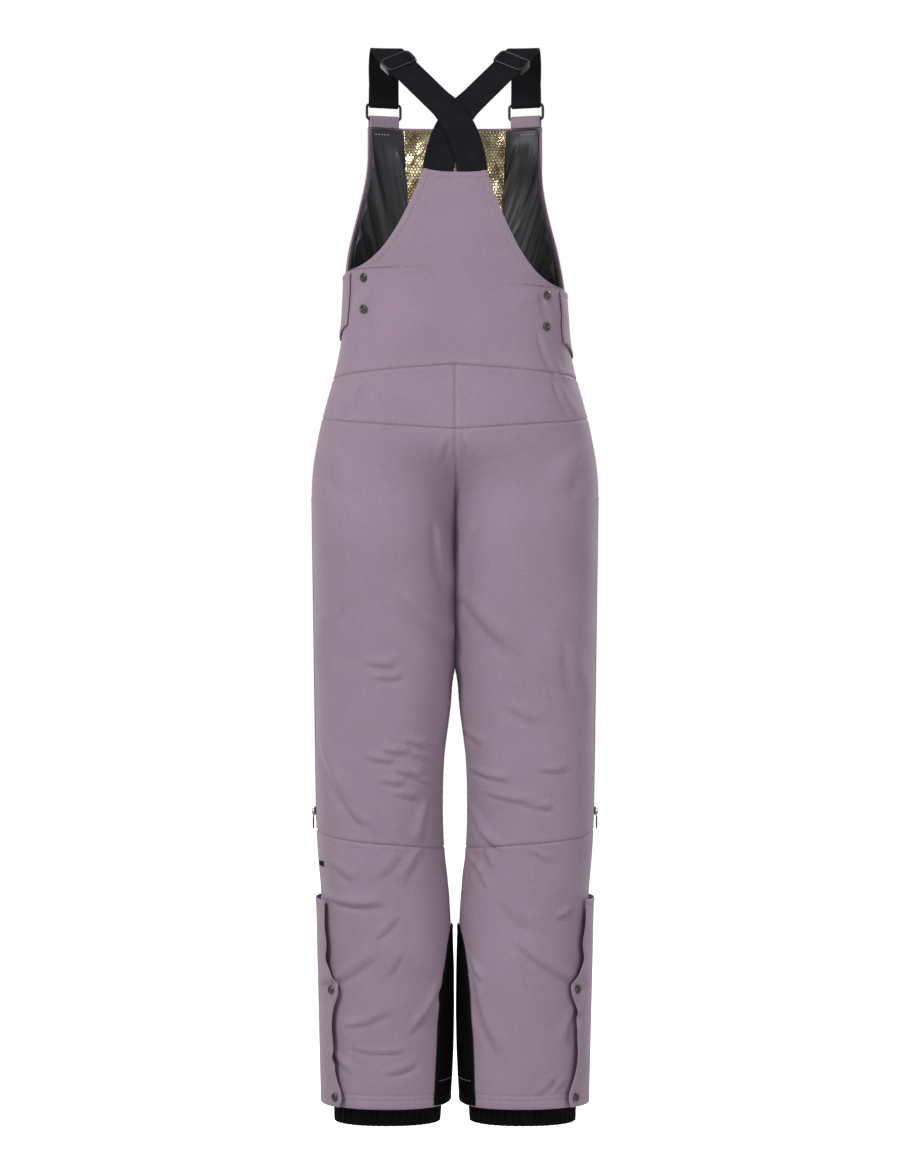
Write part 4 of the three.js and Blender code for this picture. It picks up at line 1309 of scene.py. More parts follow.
@dataclass
class Straps:
    """The crossed elastic straps with their rings, ring tabs and glides."""

    webbing: bpy.types.Material
    plastic: bpy.types.Material
    cloth: bpy.types.Material
    thread: bpy.types.Material

    def __post_init__(self) -> None:
        """Works out the heights of the ring's bars and the radius of a loop on a bar."""
        self.ring_low = BIB_TOP + 12
        self.ring_high = self.ring_low + RING_HEIGHT - RING_BAR
        self.loop = RING_BAR / 2 + RING_SWING + WEB_THICK / 2
        self.ring_turn = float(turn_at(RING_X, BIB_TOP))

    def build(self) -> None:
        """Makes both straps and what they run through."""
        for side in Side:
            self._stand = frame_on(side.value, self.ring_turn, BIB_TOP, RING_OUT)
            self._outward = Vector(self._stand.col[2][:3])
            self._strap(side)
            self._ring(side)
            self._tab(side)
            self._glide(side)

    def _local(self, out: float, height: float) -> Field:
        """A point beside the ring, in metres."""
        return np.array(self._stand @ Vector((0, (height - BIB_TOP) * MM, out * MM)))

    @staticmethod
    def _height(share: float) -> float:
        """Height at a share of the way from the back panel to the strap tops."""
        return BACK_TOP + (STRAP_TOP - BACK_TOP) * share

    def _run(self, side: Side) -> tuple[Field, Field]:
        """Low and high ends of the straight run behind the shoulder."""
        ends = ((-28, -59.6, self._height(0.5575)), (-89, 5.3, self._height(0.9431)))
        return tuple(self._point(side, p) for p in ends)

    @staticmethod
    def _point(side: Side, p: tuple) -> Field:
        """A point given for the left strap, on this side, in metres."""
        return np.array((-side.value * p[0], p[1] - STRAP_TOP_Y, p[2] - STRAP_TOP)) * MM

    def _stops(self, side: Side) -> list[tuple[Field, Field]]:
        """Points and directions that the strap follows, from its sewn end round the ring."""
        over = 2.4 if side is Side.LEFT else -1.6
        low, high = self._run(side)
        lie = np.array(SHOULDER_LIE)
        front = np.array((self._outward.x, self._outward.y, 0.05))
        top = STRAP_TOP
        down = [
            (self._point(side, (22, -90, BACK_TOP - 15)), (0, -1, 0)),
            (self._point(side, (22, -90, BACK_TOP + 2)), (0, -1, 0.05)),
            (self._point(side, (18, -88.5 - over, self._height(0.1326))), (0, -1, 0.1)),
            (self._point(side, (8, -84 - over, self._height(0.2873))), (0, -1, 0.2)),
            (self._point(side, (-9, -74.5 - over, self._height(0.442))), (0, -0.85, 0.5)),
            (low, lie), ((low + high) / 2, lie), (high, lie),
            (self._point(side, (-93.5, 14, top - 3.4)), (0, -0.35, 1)),
            (self._point(side, (-95, 22, top - WEB_THICK / 2)), (0, 0, 1)),
            (self._point(side, (-96, 30, top - WEB_THICK / 2)), (0, 0, 1)),
            (self._point(side, (-98, 48, top - 14)), (0, 0.7, 0.7)),
            (self._local(self.loop - 1, self.ring_high + 28), front),
            (self._local(self.loop, self.ring_high + 9), front),
            (self._local(self.loop, self.ring_high), front),
        ]
        stops = [(p, np.array(n, float)) for p, n in down]
        for degrees in (45, 90, 135):
            c, s = math.cos(math.radians(degrees)), math.sin(math.radians(degrees))
            at = self._local(self.loop * c, self.ring_high - self.loop * s)
            stops.append((at, np.array((self._outward.x * c, self._outward.y * c, -s))))
        inwards = np.array((-self._outward.x, -self._outward.y, 0))
        stops.append((self._local(-self.loop, self.ring_high), inwards))
        stops.append((self._local(-self.loop, self.ring_high + 9), inwards))
        drop = (WEB_THICK + FOLD_GAP) * MM
        back = [*stops[11:6:-1], (mix(low, high, GLIDE_AT + 0.04), lie)]
        for p, n in back:
            n = n / np.linalg.norm(n)
            stops.append((p - n * drop, -n))
        return stops

    @staticmethod
    def _ribbon(stops: list, width: float, thick: float, count: int, columns: int,
                bead: float) -> tuple[Field, Field]:
        """Two grids of points for a flat ribbon along a smooth path.

        Args:
            stops: points and directions out of its face.
            width: its width, in millimetres.
            thick: its thickness.
            count: rows along it.
            columns: columns across it.
            bead: how far its selvedges stand up.

        Returns:
            Its outer and inner faces.
        """
        points = [p for p, _ in stops]
        points = [2 * points[0] - points[1], *points, 2 * points[-1] - points[-2]]
        spans = len(stops) - 1
        outer, inner = [], []
        for v in np.linspace(0, 1, count):
            k = min(spans - 1, int(v * spans + 1e-9))
            t = v * spans - k
            p0, p1, p2, p3 = points[k : k + 4]
            d0, d1, d2 = (max(math.sqrt(np.linalg.norm(b - a)), 1e-4)
                          for a, b in ((p0, p1), (p1, p2), (p2, p3)))
            m1 = ((p1 - p0) / d0 - (p2 - p0) / (d0 + d1) + (p2 - p1) / d1) * d1
            m2 = ((p2 - p1) / d1 - (p3 - p1) / (d1 + d2) + (p3 - p2) / d2) * d1
            c2, c3 = -3 * p1 + 3 * p2 - 2 * m1 - m2, 2 * p1 - 2 * p2 + m1 + m2
            at = p1 + m1 * t + c2 * t * t + c3 * t**3
            along = m1 + 2 * c2 * t + 3 * c3 * t * t
            along /= np.linalg.norm(along)
            normal = mix(stops[k][1], stops[k + 1][1], t)
            across = np.cross(along, normal)
            across /= np.linalg.norm(across)
            normal = np.cross(across, along)
            s = np.linspace(-0.5, 0.5, columns)[:, None]
            lift = (thick / 2 + bead * bell((0.5 - np.abs(s)) * width - 1.6, 1.2)) * MM
            row = at + across * s * width * MM
            outer.append(row + normal * lift)
            inner.append(row - normal * lift)
        return np.array(outer), np.array(inner)

    def _strap(self, side: Side) -> None:
        """Makes one strap."""
        cloth = Cloth()
        cloth.wall(*self._ribbon(self._stops(side), WEB_WIDTH, WEB_THICK, count=330, columns=27,
                                 bead=0.12))
        made = cloth.finish(f"strap_{side.word}")
        made.data.materials.append(self.webbing)
        put(made)

    def _ring(self, side: Side) -> None:
        """Makes one moulded ring."""
        ring = Bench.frame(RING_WIDTH, RING_HEIGHT, RING_CORNER, RING_BAR, RING_BAR, edge=1.3)
        middle = (self.ring_low + self.ring_high) / 2 - BIB_TOP
        at = self._stand @ Matrix.Translation((0, middle * MM, 0))
        made = Bench.join(f"ring_{side.word}", [(ring, 0)], [self.plastic], at)
        put(made, f"ring_{side.word}")

    def _tab(self, side: Side) -> None:
        """Makes the cloth tab that holds one ring."""
        out = self._outward
        foot = np.array((out.x, out.y, 0))
        stops = [(self._local(self.loop, BIB_TOP + SEAM), foot)]
        for degrees in range(0, 181, 30):
            c, s = math.cos(math.radians(degrees)), math.sin(math.radians(degrees))
            stops.append((self._local(self.loop * c, self.ring_low + self.loop * s),
                          np.array((out.x * c, out.y * c, s))))
        stops.append((self._local(-self.loop, BIB_TOP + SEAM), -foot))
        outer, inner = self._ribbon(stops, WEB_WIDTH + 1, 1.6, count=60, columns=23, bead=0.1)
        cloth = Cloth()
        cloth.wall(outer, inner)
        for row in (5, 54):  # of the 60, near the tab's sewn ends
            path = outer[row, 2:-2]
            normals = path - inner[row, 2:-2]
            cloth.stitches(path, normals / np.linalg.norm(normals, axis=1, keepdims=True))
        made = cloth.finish(f"ring_tab_{side.word}")
        made.data.materials.append(self.cloth)
        made.data.materials.append(self.thread)
        put(made)

    def _glide(self, side: Side) -> None:
        """Makes one strap glide, with the webbing that folds over its bar."""
        low, high = (Vector(p) for p in self._run(side))
        along = (high - low).normalized()
        across = along.cross(Vector(SHOULDER_LIE)).normalized()
        out = across.cross(along)
        at = Matrix((across, along, out)).transposed().to_4x4()
        at = Matrix.Translation(low.lerp(high, GLIDE_AT)) @ at
        face_z = WEB_THICK / 2 + GLIDE_CLEAR
        deep = -(WEB_THICK * 1.5 + FOLD_GAP + GLIDE_CLEAR + 0.8)
        rim = Bench.frame(GLIDE_WIDTH, GLIDE_HEIGHT, GLIDE_CORNER, bar=3.4, thick=GLIDE_THICK,
                          edge=1.0)
        rim.data.transform(Matrix.Translation((0, 0, face_z + GLIDE_THICK / 2)))
        leg_tall = face_z + 0.5 - (deep - 1.6)
        leg_x = (GLIDE_WIDTH / 2 - 0.2 + WEB_WIDTH / 2 + 0.8) / 2
        legs = [Bench.block((GLIDE_WIDTH / 2 - WEB_WIDTH / 2 - 1.0, GLIDE_HEIGHT * 0.75, leg_tall),
                            (k * leg_x, 0, face_z + 0.5 - leg_tall / 2)) for k in (-1, 1)]
        bar = Bench.block((GLIDE_WIDTH - 0.4, GLIDE_HEIGHT * 0.6, 1.6), (0, 0, deep - 0.8))
        fold = Bench.block((WEB_WIDTH - 1.6, GLIDE_HEIGHT - 7.6, 2.5), (0, 0, face_z + 1.75), edge=1.1)
        parts = [(rim, 0), *((leg, 0) for leg in legs), (bar, 0), (fold, 1)]
        made = Bench.join(f"strap_glide_{side.word}", parts, [self.plastic, self.webbing], at)
        put(made, f"strap_glide_{side.word}")


PULL_OUT = 4.6  # how far the arch of a slider, and the pull in it, stand out of the face


@dataclass
class Zips:
    """Zip chains, sliders and pulls of the vents, the ankles and the front."""

    tape: bpy.types.Material
    metal: bpy.types.Material
    plastic: bpy.types.Material
    pitch: float = 2.3

    def build(self) -> None:
        """Makes every zip."""
        for side in Side:
            word = side.word
            self._zip(f"vent_{word}", side.value, 0.0, *VENT, VENT[0] + 14,
                      f"vent_slider_{word}", f"vent_pull_{word}")
            self._zip(f"ankle_{word}", side.value, 0.0, *ANKLE, ANKLE[0] + 12,
                      f"ankle_slider_{word}", None)
        self._zip("front", 1, 1.0, *FRONT_ZIP, FRONT_ZIP[1] - 20, "front_slider", "front_pull")

    def _zip(self, name: str, side: int, turn: float, low: float, high: float, parked: float,
             slider: str, pull: str | None) -> None:
        """Makes one zip on a straight line between two heights of the face.

        Args:
            name: start of its pieces' names.
            side: -1 or +1.
            turn: place round the face.
            low: height of its foot.
            high: height of its head.
            parked: height of its slider.
            slider: body of the slider.
            pull: body of the pull, if it has one.
        """
        foot, head = (Vector(skin(side, turn, h)) for h in (low, high))
        up = (head - foot).normalized()
        normal = Vector(frame_on(side, turn, (low + high) / 2).col[2][:3])
        across = up.cross(normal).normalized()
        turned = Matrix((across, up, across.cross(up))).transposed().to_4x4()

        def at(height: float, out: float) -> Matrix:
            """Where a piece of the zip goes."""
            p = foot.lerp(head, (height - low) / (high - low))
            return Matrix.Translation(p) @ turned @ Matrix.Translation((0, 0, out * MM))

        length = (head - foot).length / MM
        strip = Bench.block((8.0, length, 0.7), (0, length / 2, -0.75), edge=0.2)
        count = int(length / self.pitch) - 1
        rows = []
        for k in (-1, 1):
            tooth = Bench.block((2.9, 1.15, 1.5), (k * 1.05, 1.2 + (k + 1) * self.pitch / 4, 0.3),
                                edge=0.3)
            rows.append((Bench.row(tooth, count, (0, self.pitch, 0)), 1))
        chain = Bench.join(f"{name}_zip", [(strip, 0), *rows], [self.tape, self.plastic], at(low, 0))
        put(chain)
        body = Bench.block((10.2, 12.0, 1.6), (0, 0, 2.5), taper=0.74, edge=0.6)
        rails = [Bench.block((1.2, 9.4, 2.0), (k * 4.3, 0.6, 1.5), edge=0.35) for k in (-1, 1)]
        arch = Bench.frame(width=7.4, height=3.4, corner=1.1, bar=0.75, thick=2.2, edge=0.25)
        arch.data.transform(Matrix(((0, 0, 1, 0), (1, 0, 0, 0), (0, 1, 0, PULL_OUT), (0, 0, 0, 1))))
        parts = [(body, 0), *((rail, 0) for rail in rails), (arch, 0)]
        made = Bench.join(f"{name}_zip_slider", parts, [self.metal], at(parked, 0))
        put(made, slider)
        if pull is not None:
            self._pull(f"{name}_zip_pull", at(parked, PULL_OUT), pull)

    def _pull(self, name: str, at: Matrix, body: str) -> None:
        """Makes one moulded pull on its link."""
        link = Bench.frame(width=5.4, height=8.0, corner=2.2, bar=0.95, thick=1.0, edge=0.3)
        link.data.transform(Matrix.Translation((0, -3.5, 0)))
        grip = Bench.block((5.4, 16.5, 1.9), (0, -15.4, 0), taper=0.72, edge=0.8)
        neck = Bench.block((3.0, 3.0, 1.6), (0, -7.4, 0), edge=0.6)
        ribs = [Bench.block((4.4, 0.8, 2.4), (0, -12.2 - k * 2.4, 0), edge=0.3) for k in range(4)]
        parts = [(link, 0), (grip, 0), (neck, 0), *((rib, 0) for rib in ribs)]
        made = Bench.join(name, parts, [self.plastic], at)
        put(made, body)


@dataclass
class Snaps:
    """Metal snap caps of the waist and the storm flaps, and the small ankle loop."""

    metal: bpy.types.Material
    webbing: bpy.types.Material
    radius: float = 5.8
    tall: float = 2.2
    proud: float = 0.3
    stud_x: float = 122.0

    def build(self) -> None:
        """Makes every snap cap and the loop."""
        for side in Side:
            word = side.word
            for row, height in FLAP_SNAPS.items():
                out = FLAP["out"] + FLAP["thick"] + self.proud
                at = on_cloth(side.value, FLAP["back"] + 0.045, height, out)
                self._cap(f"ankle_snap_{row}_{word}", at, f"ankle_flap_{word}")
            for row, drop in TAB_STUDS.items():
                height = side.armhole - TAB["high"] - drop
                turn = -float(turn_at(self.stud_x, height))
                at = on_cloth(side.value, turn, height, self.proud)
                self._cap(f"waist_stud_{row}_{word}", at, "garment")
        leaf = Bench.block((16, 6.6, 1.5), (0, 0, 0.9), edge=0.5)
        fold = Bench.block((9.0, 5.0, 1.3), (-2.5, -0.4, 1.4), taper=0.8, edge=0.5)
        at = on_cloth(Side.LEFT.value, -0.12, 350.0, self.proud)
        made = Bench.join("ankle_loop_left", [(leaf, 0), (fold, 0)], [self.webbing], at)
        put(made)

    def _cap(self, name: str, at: Matrix, body: str) -> None:
        """Makes one snap cap."""
        made = Bench.join(name, [(Bench.cap(self.radius, self.tall), 0)], [self.metal], at)
        put(made, body)


# ---- finishes -------------------------------------------------------------------------
def tint(*rgb: int) -> tuple[float, float, float, float]:
    """A colour as Blender reads it, from its screen values."""
    return (*(((c / 255 + 0.055) / 1.055) ** 2.4 if c > 10 else c / 255 / 12.92 for c in rgb), 1.0)


class Graph:
    """A small hand for wiring the nodes of one tree."""

    def __init__(self, tree: bpy.types.NodeTree) -> None:
        """Takes the tree to wire."""
        self.tree = tree

    def node(self, kind: str, settings: dict | None = None, **inputs: object) -> bpy.types.Node:
        """Adds a node.

        Args:
            kind: its type.
            settings: its properties.
            inputs: values or sockets for its inputs, by name or as i0, i1 and so on.

        Returns:
            The node.
        """
        made = self.tree.nodes.new(kind)
        for key, value in (settings or {}).items():
            setattr(made, key, value)
        self.feed(made, **inputs)
        return made

    def feed(self, node: bpy.types.Node, **inputs: object) -> None:
        """Gives the inputs of a node their values or links, named as for node()."""
        for key, value in inputs.items():
            name = int(key[1:]) if key[0] == "i" and key[1:].isdigit() else key.replace("_", " ")
            if isinstance(value, bpy.types.NodeSocket):
                self.tree.links.new(value, node.inputs[name])
            else:
                node.inputs[name].default_value = value

    def reckon(self, operation: str, a: object, b: object = 0.0) -> bpy.types.NodeSocket:
        """One step of arithmetic."""
        return self.node("ShaderNodeMath", {"operation": operation}, i0=a, i1=b).outputs[0]

    def group(self, tree: bpy.types.NodeTree, **inputs: object) -> bpy.types.Node:
        """Places a shared group."""
        return self.node("ShaderNodeGroup", {"node_tree": tree}, **inputs)

    def place(self) -> bpy.types.NodeSocket:
        """Places on the piece itself, which don't stretch."""
        return self.node("ShaderNodeTexCoord").outputs["Object"]

    def cloth_map(self) -> bpy.types.NodeSocket:
        """Places along and across the cloth, in metres."""
        return self.node("ShaderNodeUVMap", {"uv_map": CLOTH_MAP}).outputs[0]

    def span(self, value: bpy.types.NodeSocket, low: float, high: float) -> bpy.types.NodeSocket:
        """A value from 0 to 1 spread from low to high."""
        return self.node("ShaderNodeMapRange", Value=value, To_Min=low, To_Max=high).outputs[0]


def new_group(name: str, inputs: dict[str, str], outputs: dict[str, str]) -> tuple:
    """Starts a shared node group.

    Args:
        name: its name.
        inputs: socket kinds by name.
        outputs: socket kinds by name.

    Returns:
        The tree, its graph, its input node and its output node.
    """
    tree = bpy.data.node_groups.new(name, "ShaderNodeTree")
    for way, sockets in (("INPUT", inputs), ("OUTPUT", outputs)):
        for label, kind in sockets.items():
            tree.interface.new_socket(label, in_out=way, socket_type=f"NodeSocket{kind}")
    graph = Graph(tree)
    return tree, graph, graph.node("NodeGroupInput"), graph.node("NodeGroupOutput")


class Effects:
    """Shader effects that several finishes share."""

    def __init__(self) -> None:
        """Builds each effect once."""
        self.weave = self._weave()
        self.mottle = self._mottle()
        self.dots = self._dots()

    @staticmethod
    def _weave() -> bpy.types.NodeTree:
        """Crossing threads, or ribs, at a given pitch on the piece's own cloth map."""
        tree, g, start, end = new_group(
            "thread_weave", {"Place": "Vector", "Pitch": "Float", "Ribs": "Float"},
            {"Height": "Float"})
        split = g.node("ShaderNodeSeparateXYZ", i0=start.outputs["Place"])
        turn = g.reckon("DIVIDE", 2 * math.pi, start.outputs["Pitch"])
        across = g.reckon("SINE", g.reckon("MULTIPLY", split.outputs[0], turn))
        up = g.reckon("SINE", g.reckon("MULTIPLY", split.outputs[1], turn))
        woven = g.reckon("MULTIPLY", across, up)
        mixed = g.node("ShaderNodeMix", {"data_type": "FLOAT"}, i0=start.outputs["Ribs"], i2=woven,
                       i3=across)
        g.feed(end, Height=g.reckon("MULTIPLY_ADD", mixed.outputs[0], 0.5))
        return tree

    @staticmethod
    def _mottle() -> bpy.types.NodeTree:
        """Two tones that drift into each other, with a value for gloss and bump."""
        tree, g, start, end = new_group(
            "tone_drift",
            {"Place": "Vector", "Scale": "Float", "Detail": "Float", "Low": "Color", "High": "Color"},
            {"Color": "Color", "Value": "Float"})
        noise = g.node("ShaderNodeTexNoise", Vector=start.outputs["Place"],
                       Scale=start.outputs["Scale"], Detail=start.outputs["Detail"], Roughness=0.62)
        spread = g.node("ShaderNodeMapRange", Value=noise.outputs[0], From_Min=0.32, From_Max=0.68)
        tone = g.node("ShaderNodeMix", {"data_type": "RGBA"}, i0=spread.outputs[0],
                      i6=start.outputs["Low"], i7=start.outputs["High"])
        g.feed(end, Color=tone.outputs[2], Value=spread.outputs[0])
        return tree

    @staticmethod
    def _dots() -> bpy.types.NodeTree:
        """Round dots in staggered rows on the cloth map."""
        tree, g, start, end = new_group(
            "staggered_dots", {"Place": "Vector", "Pitch": "Float", "Size": "Float"},
            {"Mask": "Float", "Dome": "Float"})
        split = g.node("ShaderNodeSeparateXYZ", i0=start.outputs["Place"])
        tall = g.reckon("MULTIPLY", start.outputs["Pitch"], 1.732)
        nearest = None
        for shift in (0.0, 0.5):
            squares = []
            for value, size in zip(split.outputs, (start.outputs["Pitch"], tall)):
                share = g.reckon("ADD", g.reckon("DIVIDE", value, size), shift)
                off = g.reckon("SUBTRACT", g.reckon("FRACT", share), 0.5)
                away = g.reckon("MULTIPLY", off, size)
                squares.append(g.reckon("POWER", g.reckon("ABSOLUTE", away), 2.0))
            reach = g.reckon("SQRT", g.reckon("ADD", *squares))
            nearest = reach if nearest is None else g.reckon("MINIMUM", nearest, reach)
        radius = g.reckon("MULTIPLY", start.outputs["Pitch"], start.outputs["Size"])
        share = g.reckon("DIVIDE", nearest, radius)
        for output, rim, middle in (("Mask", 1.12, 0.88), ("Dome", 1.0, 0.3)):
            fall = g.node("ShaderNodeMapRange", {"interpolation_type": "SMOOTHSTEP"}, Value=share,
                          From_Min=rim, From_Max=middle)
            g.feed(end, **{output: fall.outputs[0]})
        return tree


def new_material(name: str) -> tuple[bpy.types.Material, Graph, bpy.types.Node]:
    """Starts a material and returns it with its graph and its Principled BSDF."""
    made = bpy.data.materials.new(name)
    made.use_nodes = True
    return made, Graph(made.node_tree), made.node_tree.nodes["Principled BSDF"]


@dataclass(frozen=True)
class ClothFinish:
    """A woven or knitted cloth, or thread."""

    name: str
    low: tuple
    high: tuple
    pitch: float = 0.9
    ribs: float = 0.0
    depth: float = 0.12
    rough: tuple[float, float] = (0.68, 0.82)
    drift: float = 9.0
    crumple: float = 0.35
    sheen: float = 0.15
    specular: float = 0.35

    def build(self, effects: Effects) -> bpy.types.Material:
        """Makes the material.

        Args:
            effects: the shared effects.

        Returns:
            The material.
        """
        made, g, shader = new_material(self.name)
        uv, place = g.cloth_map(), g.place()
        tone = g.group(effects.mottle, Place=place, Scale=self.drift, Detail=4.0, Low=self.low,
                       High=self.high)
        fine = g.node("ShaderNodeTexNoise", Vector=place, Scale=420.0, Detail=2.0)
        fleck = g.node("ShaderNodeMapRange", Value=fine.outputs[0], From_Min=0.3, From_Max=0.7,
                       To_Min=0.93, To_Max=1.06)
        shade = g.node("ShaderNodeMix", {"data_type": "RGBA", "blend_type": "MULTIPLY"}, i0=1.0,
                       i6=tone.outputs["Color"], i7=fleck.outputs[0])
        weave = g.group(effects.weave, Place=uv, Pitch=self.pitch * MM, Ribs=self.ribs)
        soft = g.node("ShaderNodeTexNoise", Vector=place, Scale=38.0, Detail=5.0, Roughness=0.55)
        first = g.node("ShaderNodeBump", Strength=self.crumple, Distance=0.0022,
                       Height=soft.outputs[0])
        bump = g.node("ShaderNodeBump", Strength=0.6, Distance=self.depth * MM,
                      Height=weave.outputs["Height"], Normal=first.outputs[0])
        g.feed(shader, Base_Color=shade.outputs[2], Normal=bump.outputs[0],
               Roughness=g.span(tone.outputs["Value"], *self.rough), Sheen_Weight=self.sheen,
               Sheen_Roughness=0.5, Specular_IOR_Level=self.specular)
        return made


@dataclass(frozen=True)
class FoilFinish:
    """Black lining cloth printed with staggered gold foil dots, whose near-white patches of gold are
    painted highlight.
    """

    name: str = "dotted_gold_foil"
    pitch: float = 4.6
    size: float = 0.44

    def build(self, effects: Effects) -> bpy.types.Material:
        """Makes the material."""
        made, g, shader = new_material(self.name)
        uv, place = g.cloth_map(), g.place()
        dots = g.group(effects.dots, Place=uv, Pitch=self.pitch * MM, Size=self.size)
        # The gold drifts at random from a dull gold to a near-white gold. The drift is partly the foil's
        # own uneven tone and partly painted highlight, since the near-white patches stand in for glints on
        # the crumpled foil.
        gold = g.group(effects.mottle, Place=place, Scale=60.0, Detail=3.0,
                       Low=tint(150, 122, 70), High=tint(255, 240, 200))
        tone = g.node("ShaderNodeMix", {"data_type": "RGBA"}, i0=dots.outputs["Mask"],
                      i6=tint(14, 11, 8), i7=gold.outputs["Color"])
        crease = g.node("ShaderNodeTexNoise", Vector=place, Scale=55.0, Detail=6.0, Roughness=0.6)
        first = g.node("ShaderNodeBump", Strength=0.5, Distance=0.004, Height=crease.outputs[0])
        bump = g.node("ShaderNodeBump", Strength=0.35, Distance=0.0004, Height=dots.outputs["Dome"],
                      Normal=first.outputs[0])
        g.feed(shader, Base_Color=tone.outputs[2], Metallic=dots.outputs["Mask"],
               Roughness=g.span(dots.outputs["Mask"], 0.85, 0.26), Normal=bump.outputs[0])
        return made


@dataclass(frozen=True)
class HardFinish:
    """Moulded plastic or plated metal, worn a little duller in patches."""

    name: str
    low: tuple
    high: tuple
    rough: tuple[float, float]
    metallic: float = 0.0
    grain: float = 0.12

    def build(self, effects: Effects) -> bpy.types.Material:
        """Makes the material."""
        made, g, shader = new_material(self.name)
        place = g.place()
        tone = g.group(effects.mottle, Place=place, Scale=160.0, Detail=4.0, Low=self.low,
                       High=self.high)
        grain = g.node("ShaderNodeTexNoise", Vector=place, Scale=1400.0, Detail=3.0)
        bump = g.node("ShaderNodeBump", Strength=self.grain, Distance=0.0003, Height=grain.outputs[0])
        g.feed(shader, Base_Color=tone.outputs["Color"], Normal=bump.outputs[0],
               Roughness=g.span(tone.outputs["Value"], *self.rough), Metallic=self.metallic)
        return made


SHELL_CLOTH = ClothFinish("lilac_shell_cloth", tint(150, 129, 147), tint(158, 137, 155))
SHELL_THREAD = ClothFinish("lilac_thread", tint(172, 154, 168), tint(192, 174, 188), pitch=0.5,
                           ribs=1.0)
SATIN = ClothFinish("black_satin", tint(44, 44, 48), tint(54, 54, 58), pitch=0.5, ribs=0.2,
                    depth=0.03, rough=(0.4, 0.52), drift=14.0, crumple=0.3, sheen=0.0, specular=0.4)
WEBBING = ClothFinish("black_elastic", tint(24, 24, 28), tint(32, 32, 36), pitch=1.25, ribs=0.8,
                      depth=0.22, rough=(0.75, 0.9), drift=30.0, crumple=0.2, sheen=0.0,
                      specular=0.06)
TAPE = ClothFinish("black_zip_tape", tint(24, 24, 27), tint(36, 36, 40), pitch=0.8, ribs=0.3,
                   depth=0.15)
SCUFF = ClothFinish("black_scuff_guard", tint(7, 7, 9), tint(12, 12, 14), pitch=1.1, depth=0.2,
                    rough=(0.6, 0.72), drift=12.0, crumple=0.3, sheen=0.0, specular=0.05)
GAITER_CLOTH = ClothFinish("black_gaiter_cloth", tint(7, 7, 9), tint(13, 13, 15), pitch=0.8,
                           depth=0.15, rough=(0.5, 0.65), drift=20.0, crumple=0.4, sheen=0.0,
                           specular=0.06)
PALE_THREAD = ClothFinish("pale_thread", tint(150, 148, 152), tint(190, 188, 190), pitch=0.5,
                          ribs=1.0)
PLASTIC = HardFinish("black_moulded_plastic", tint(26, 27, 30), tint(38, 39, 42), (0.34, 0.5))
METAL = HardFinish("dark_plated_metal", tint(74, 72, 74), tint(120, 116, 112), (0.22, 0.4),
                   metallic=1.0)


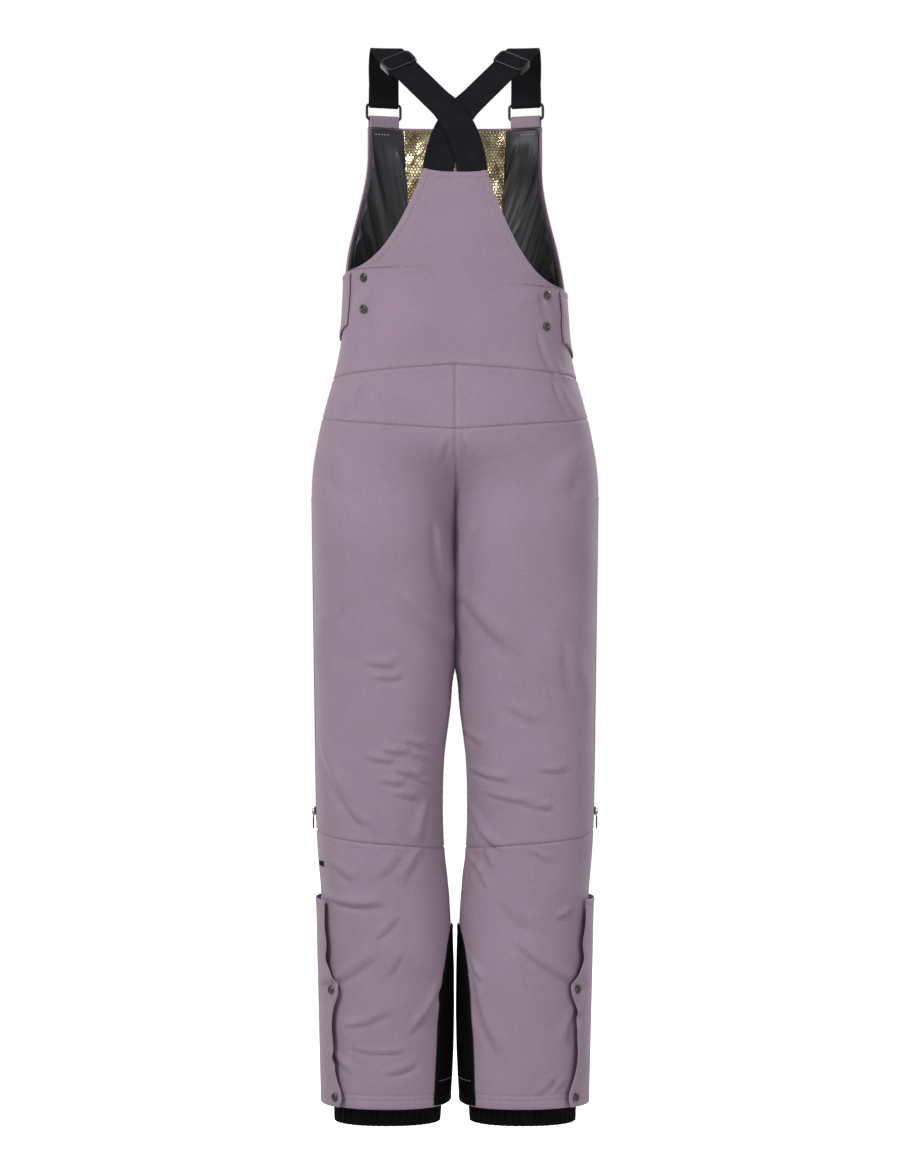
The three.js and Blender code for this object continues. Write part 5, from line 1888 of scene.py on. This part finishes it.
# ---- studio ---------------------------------------------------------------------------
@dataclass(frozen=True)
class Studio:
    """A pale floor, soft lamps and the camera."""

    floor_drop: float = 0.25
    camera_at: tuple[float, float, float] = (-0.0068, -4.026, -0.738)
    lens: float = 90.05

    def build(self) -> None:
        """Sets up the studio."""
        scene = bpy.context.scene
        scene.view_settings.view_transform = "Standard"
        self._world(scene)
        self._floor()
        lamps = (
            ("key", (-2.3, -2.6, 1.5), 1.0, 84.0), ("fill", (2.5, -2.9, -0.9), 2.0, 30.0),
            ("rear_key", (2.3, 2.6, 1.5), 1.0, 84.0), ("rear_fill", (-2.5, 2.9, -0.9), 2.0, 30.0),
        )
        for name, at, size, watts in lamps:
            light = bpy.data.lights.new(name, "AREA")
            light.shape, light.size, light.energy = "DISK", size, watts
            lamp = bpy.data.objects.new(name, light)
            lamp.location = at
            aim = Vector((0, 0, -0.75)) - Vector(at)
            lamp.rotation_euler = aim.to_track_quat("-Z", "Y").to_euler()
            scene.collection.objects.link(lamp)
        view = bpy.data.cameras.new("camera")
        view.lens, view.sensor_width = self.lens, 36.0
        camera = bpy.data.objects.new("camera", view)
        camera.location = self.camera_at
        camera.rotation_euler = (math.pi / 2, 0, 0)
        scene.collection.objects.link(camera)
        scene.camera = camera

    @staticmethod
    def _world(scene: bpy.types.Scene) -> None:
        """A white surround that lights softly."""
        world = bpy.data.worlds.new("studio_surround")
        world.use_nodes = True
        scene.world = world
        g = Graph(world.node_tree)
        seen = g.node("ShaderNodeLightPath").outputs["Is Camera Ray"]
        g.feed(world.node_tree.nodes["Background"], Color=(1, 1, 1, 1),
               Strength=g.span(seen, 0.455, 1.02))

    def _floor(self) -> None:
        """A wide pale floor below the hanging garment."""
        bpy.ops.object.select_all(action="DESELECT")
        low = -STRAP_TOP * MM - self.floor_drop
        bpy.ops.mesh.primitive_circle_add(vertices=96, radius=9.0, fill_type="NGON",
                                          location=(0, 0, low))
        floor = bpy.context.object
        bpy.ops.object.transform_apply(location=True, rotation=True, scale=True)
        floor.name = "studio_floor"
        made, g, shader = new_material("pale_floor")
        noise = g.node("ShaderNodeTexNoise", Vector=g.place(), Scale=3.0)
        seen = g.node("ShaderNodeLightPath").outputs["Is Camera Ray"]
        g.feed(shader, Base_Color=(0.5, 0.5, 0.5, 1), Roughness=g.span(noise.outputs[0], 0.7, 0.8),
               Emission_Color=(1, 1, 1, 1), Emission_Strength=seen)
        floor.data.materials.append(made)


def main() -> None:
    """Builds the studio and every piece of the garment."""
    logging.basicConfig(level=logging.INFO, format="%(name)s %(message)s")
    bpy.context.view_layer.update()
    Studio().build()
    effects = Effects()
    cloth, thread = SHELL_CLOTH.build(effects), SHELL_THREAD.build(effects)
    satin, foil = SATIN.build(effects), FoilFinish().build(effects)
    webbing, tape = WEBBING.build(effects), TAPE.build(effects)
    plastic, metal = PLASTIC.build(effects), METAL.build(effects)
    scuff, gaiter = SCUFF.build(effects), GAITER_CLOTH.build(effects)
    pale = PALE_THREAD.build(effects)
    for part in (
        Shell(cloth, thread), Linings(satin, foil, thread),
        Ankles(cloth, thread, scuff, gaiter, pale), WaistTabs(cloth, thread),
        Straps(webbing, plastic, cloth, thread), Zips(tape, metal, plastic), Snaps(metal, webbing),
    ):
        part.build()
        LOG.info("%s done", type(part).__name__)


if __name__ == "__main__":
    main()
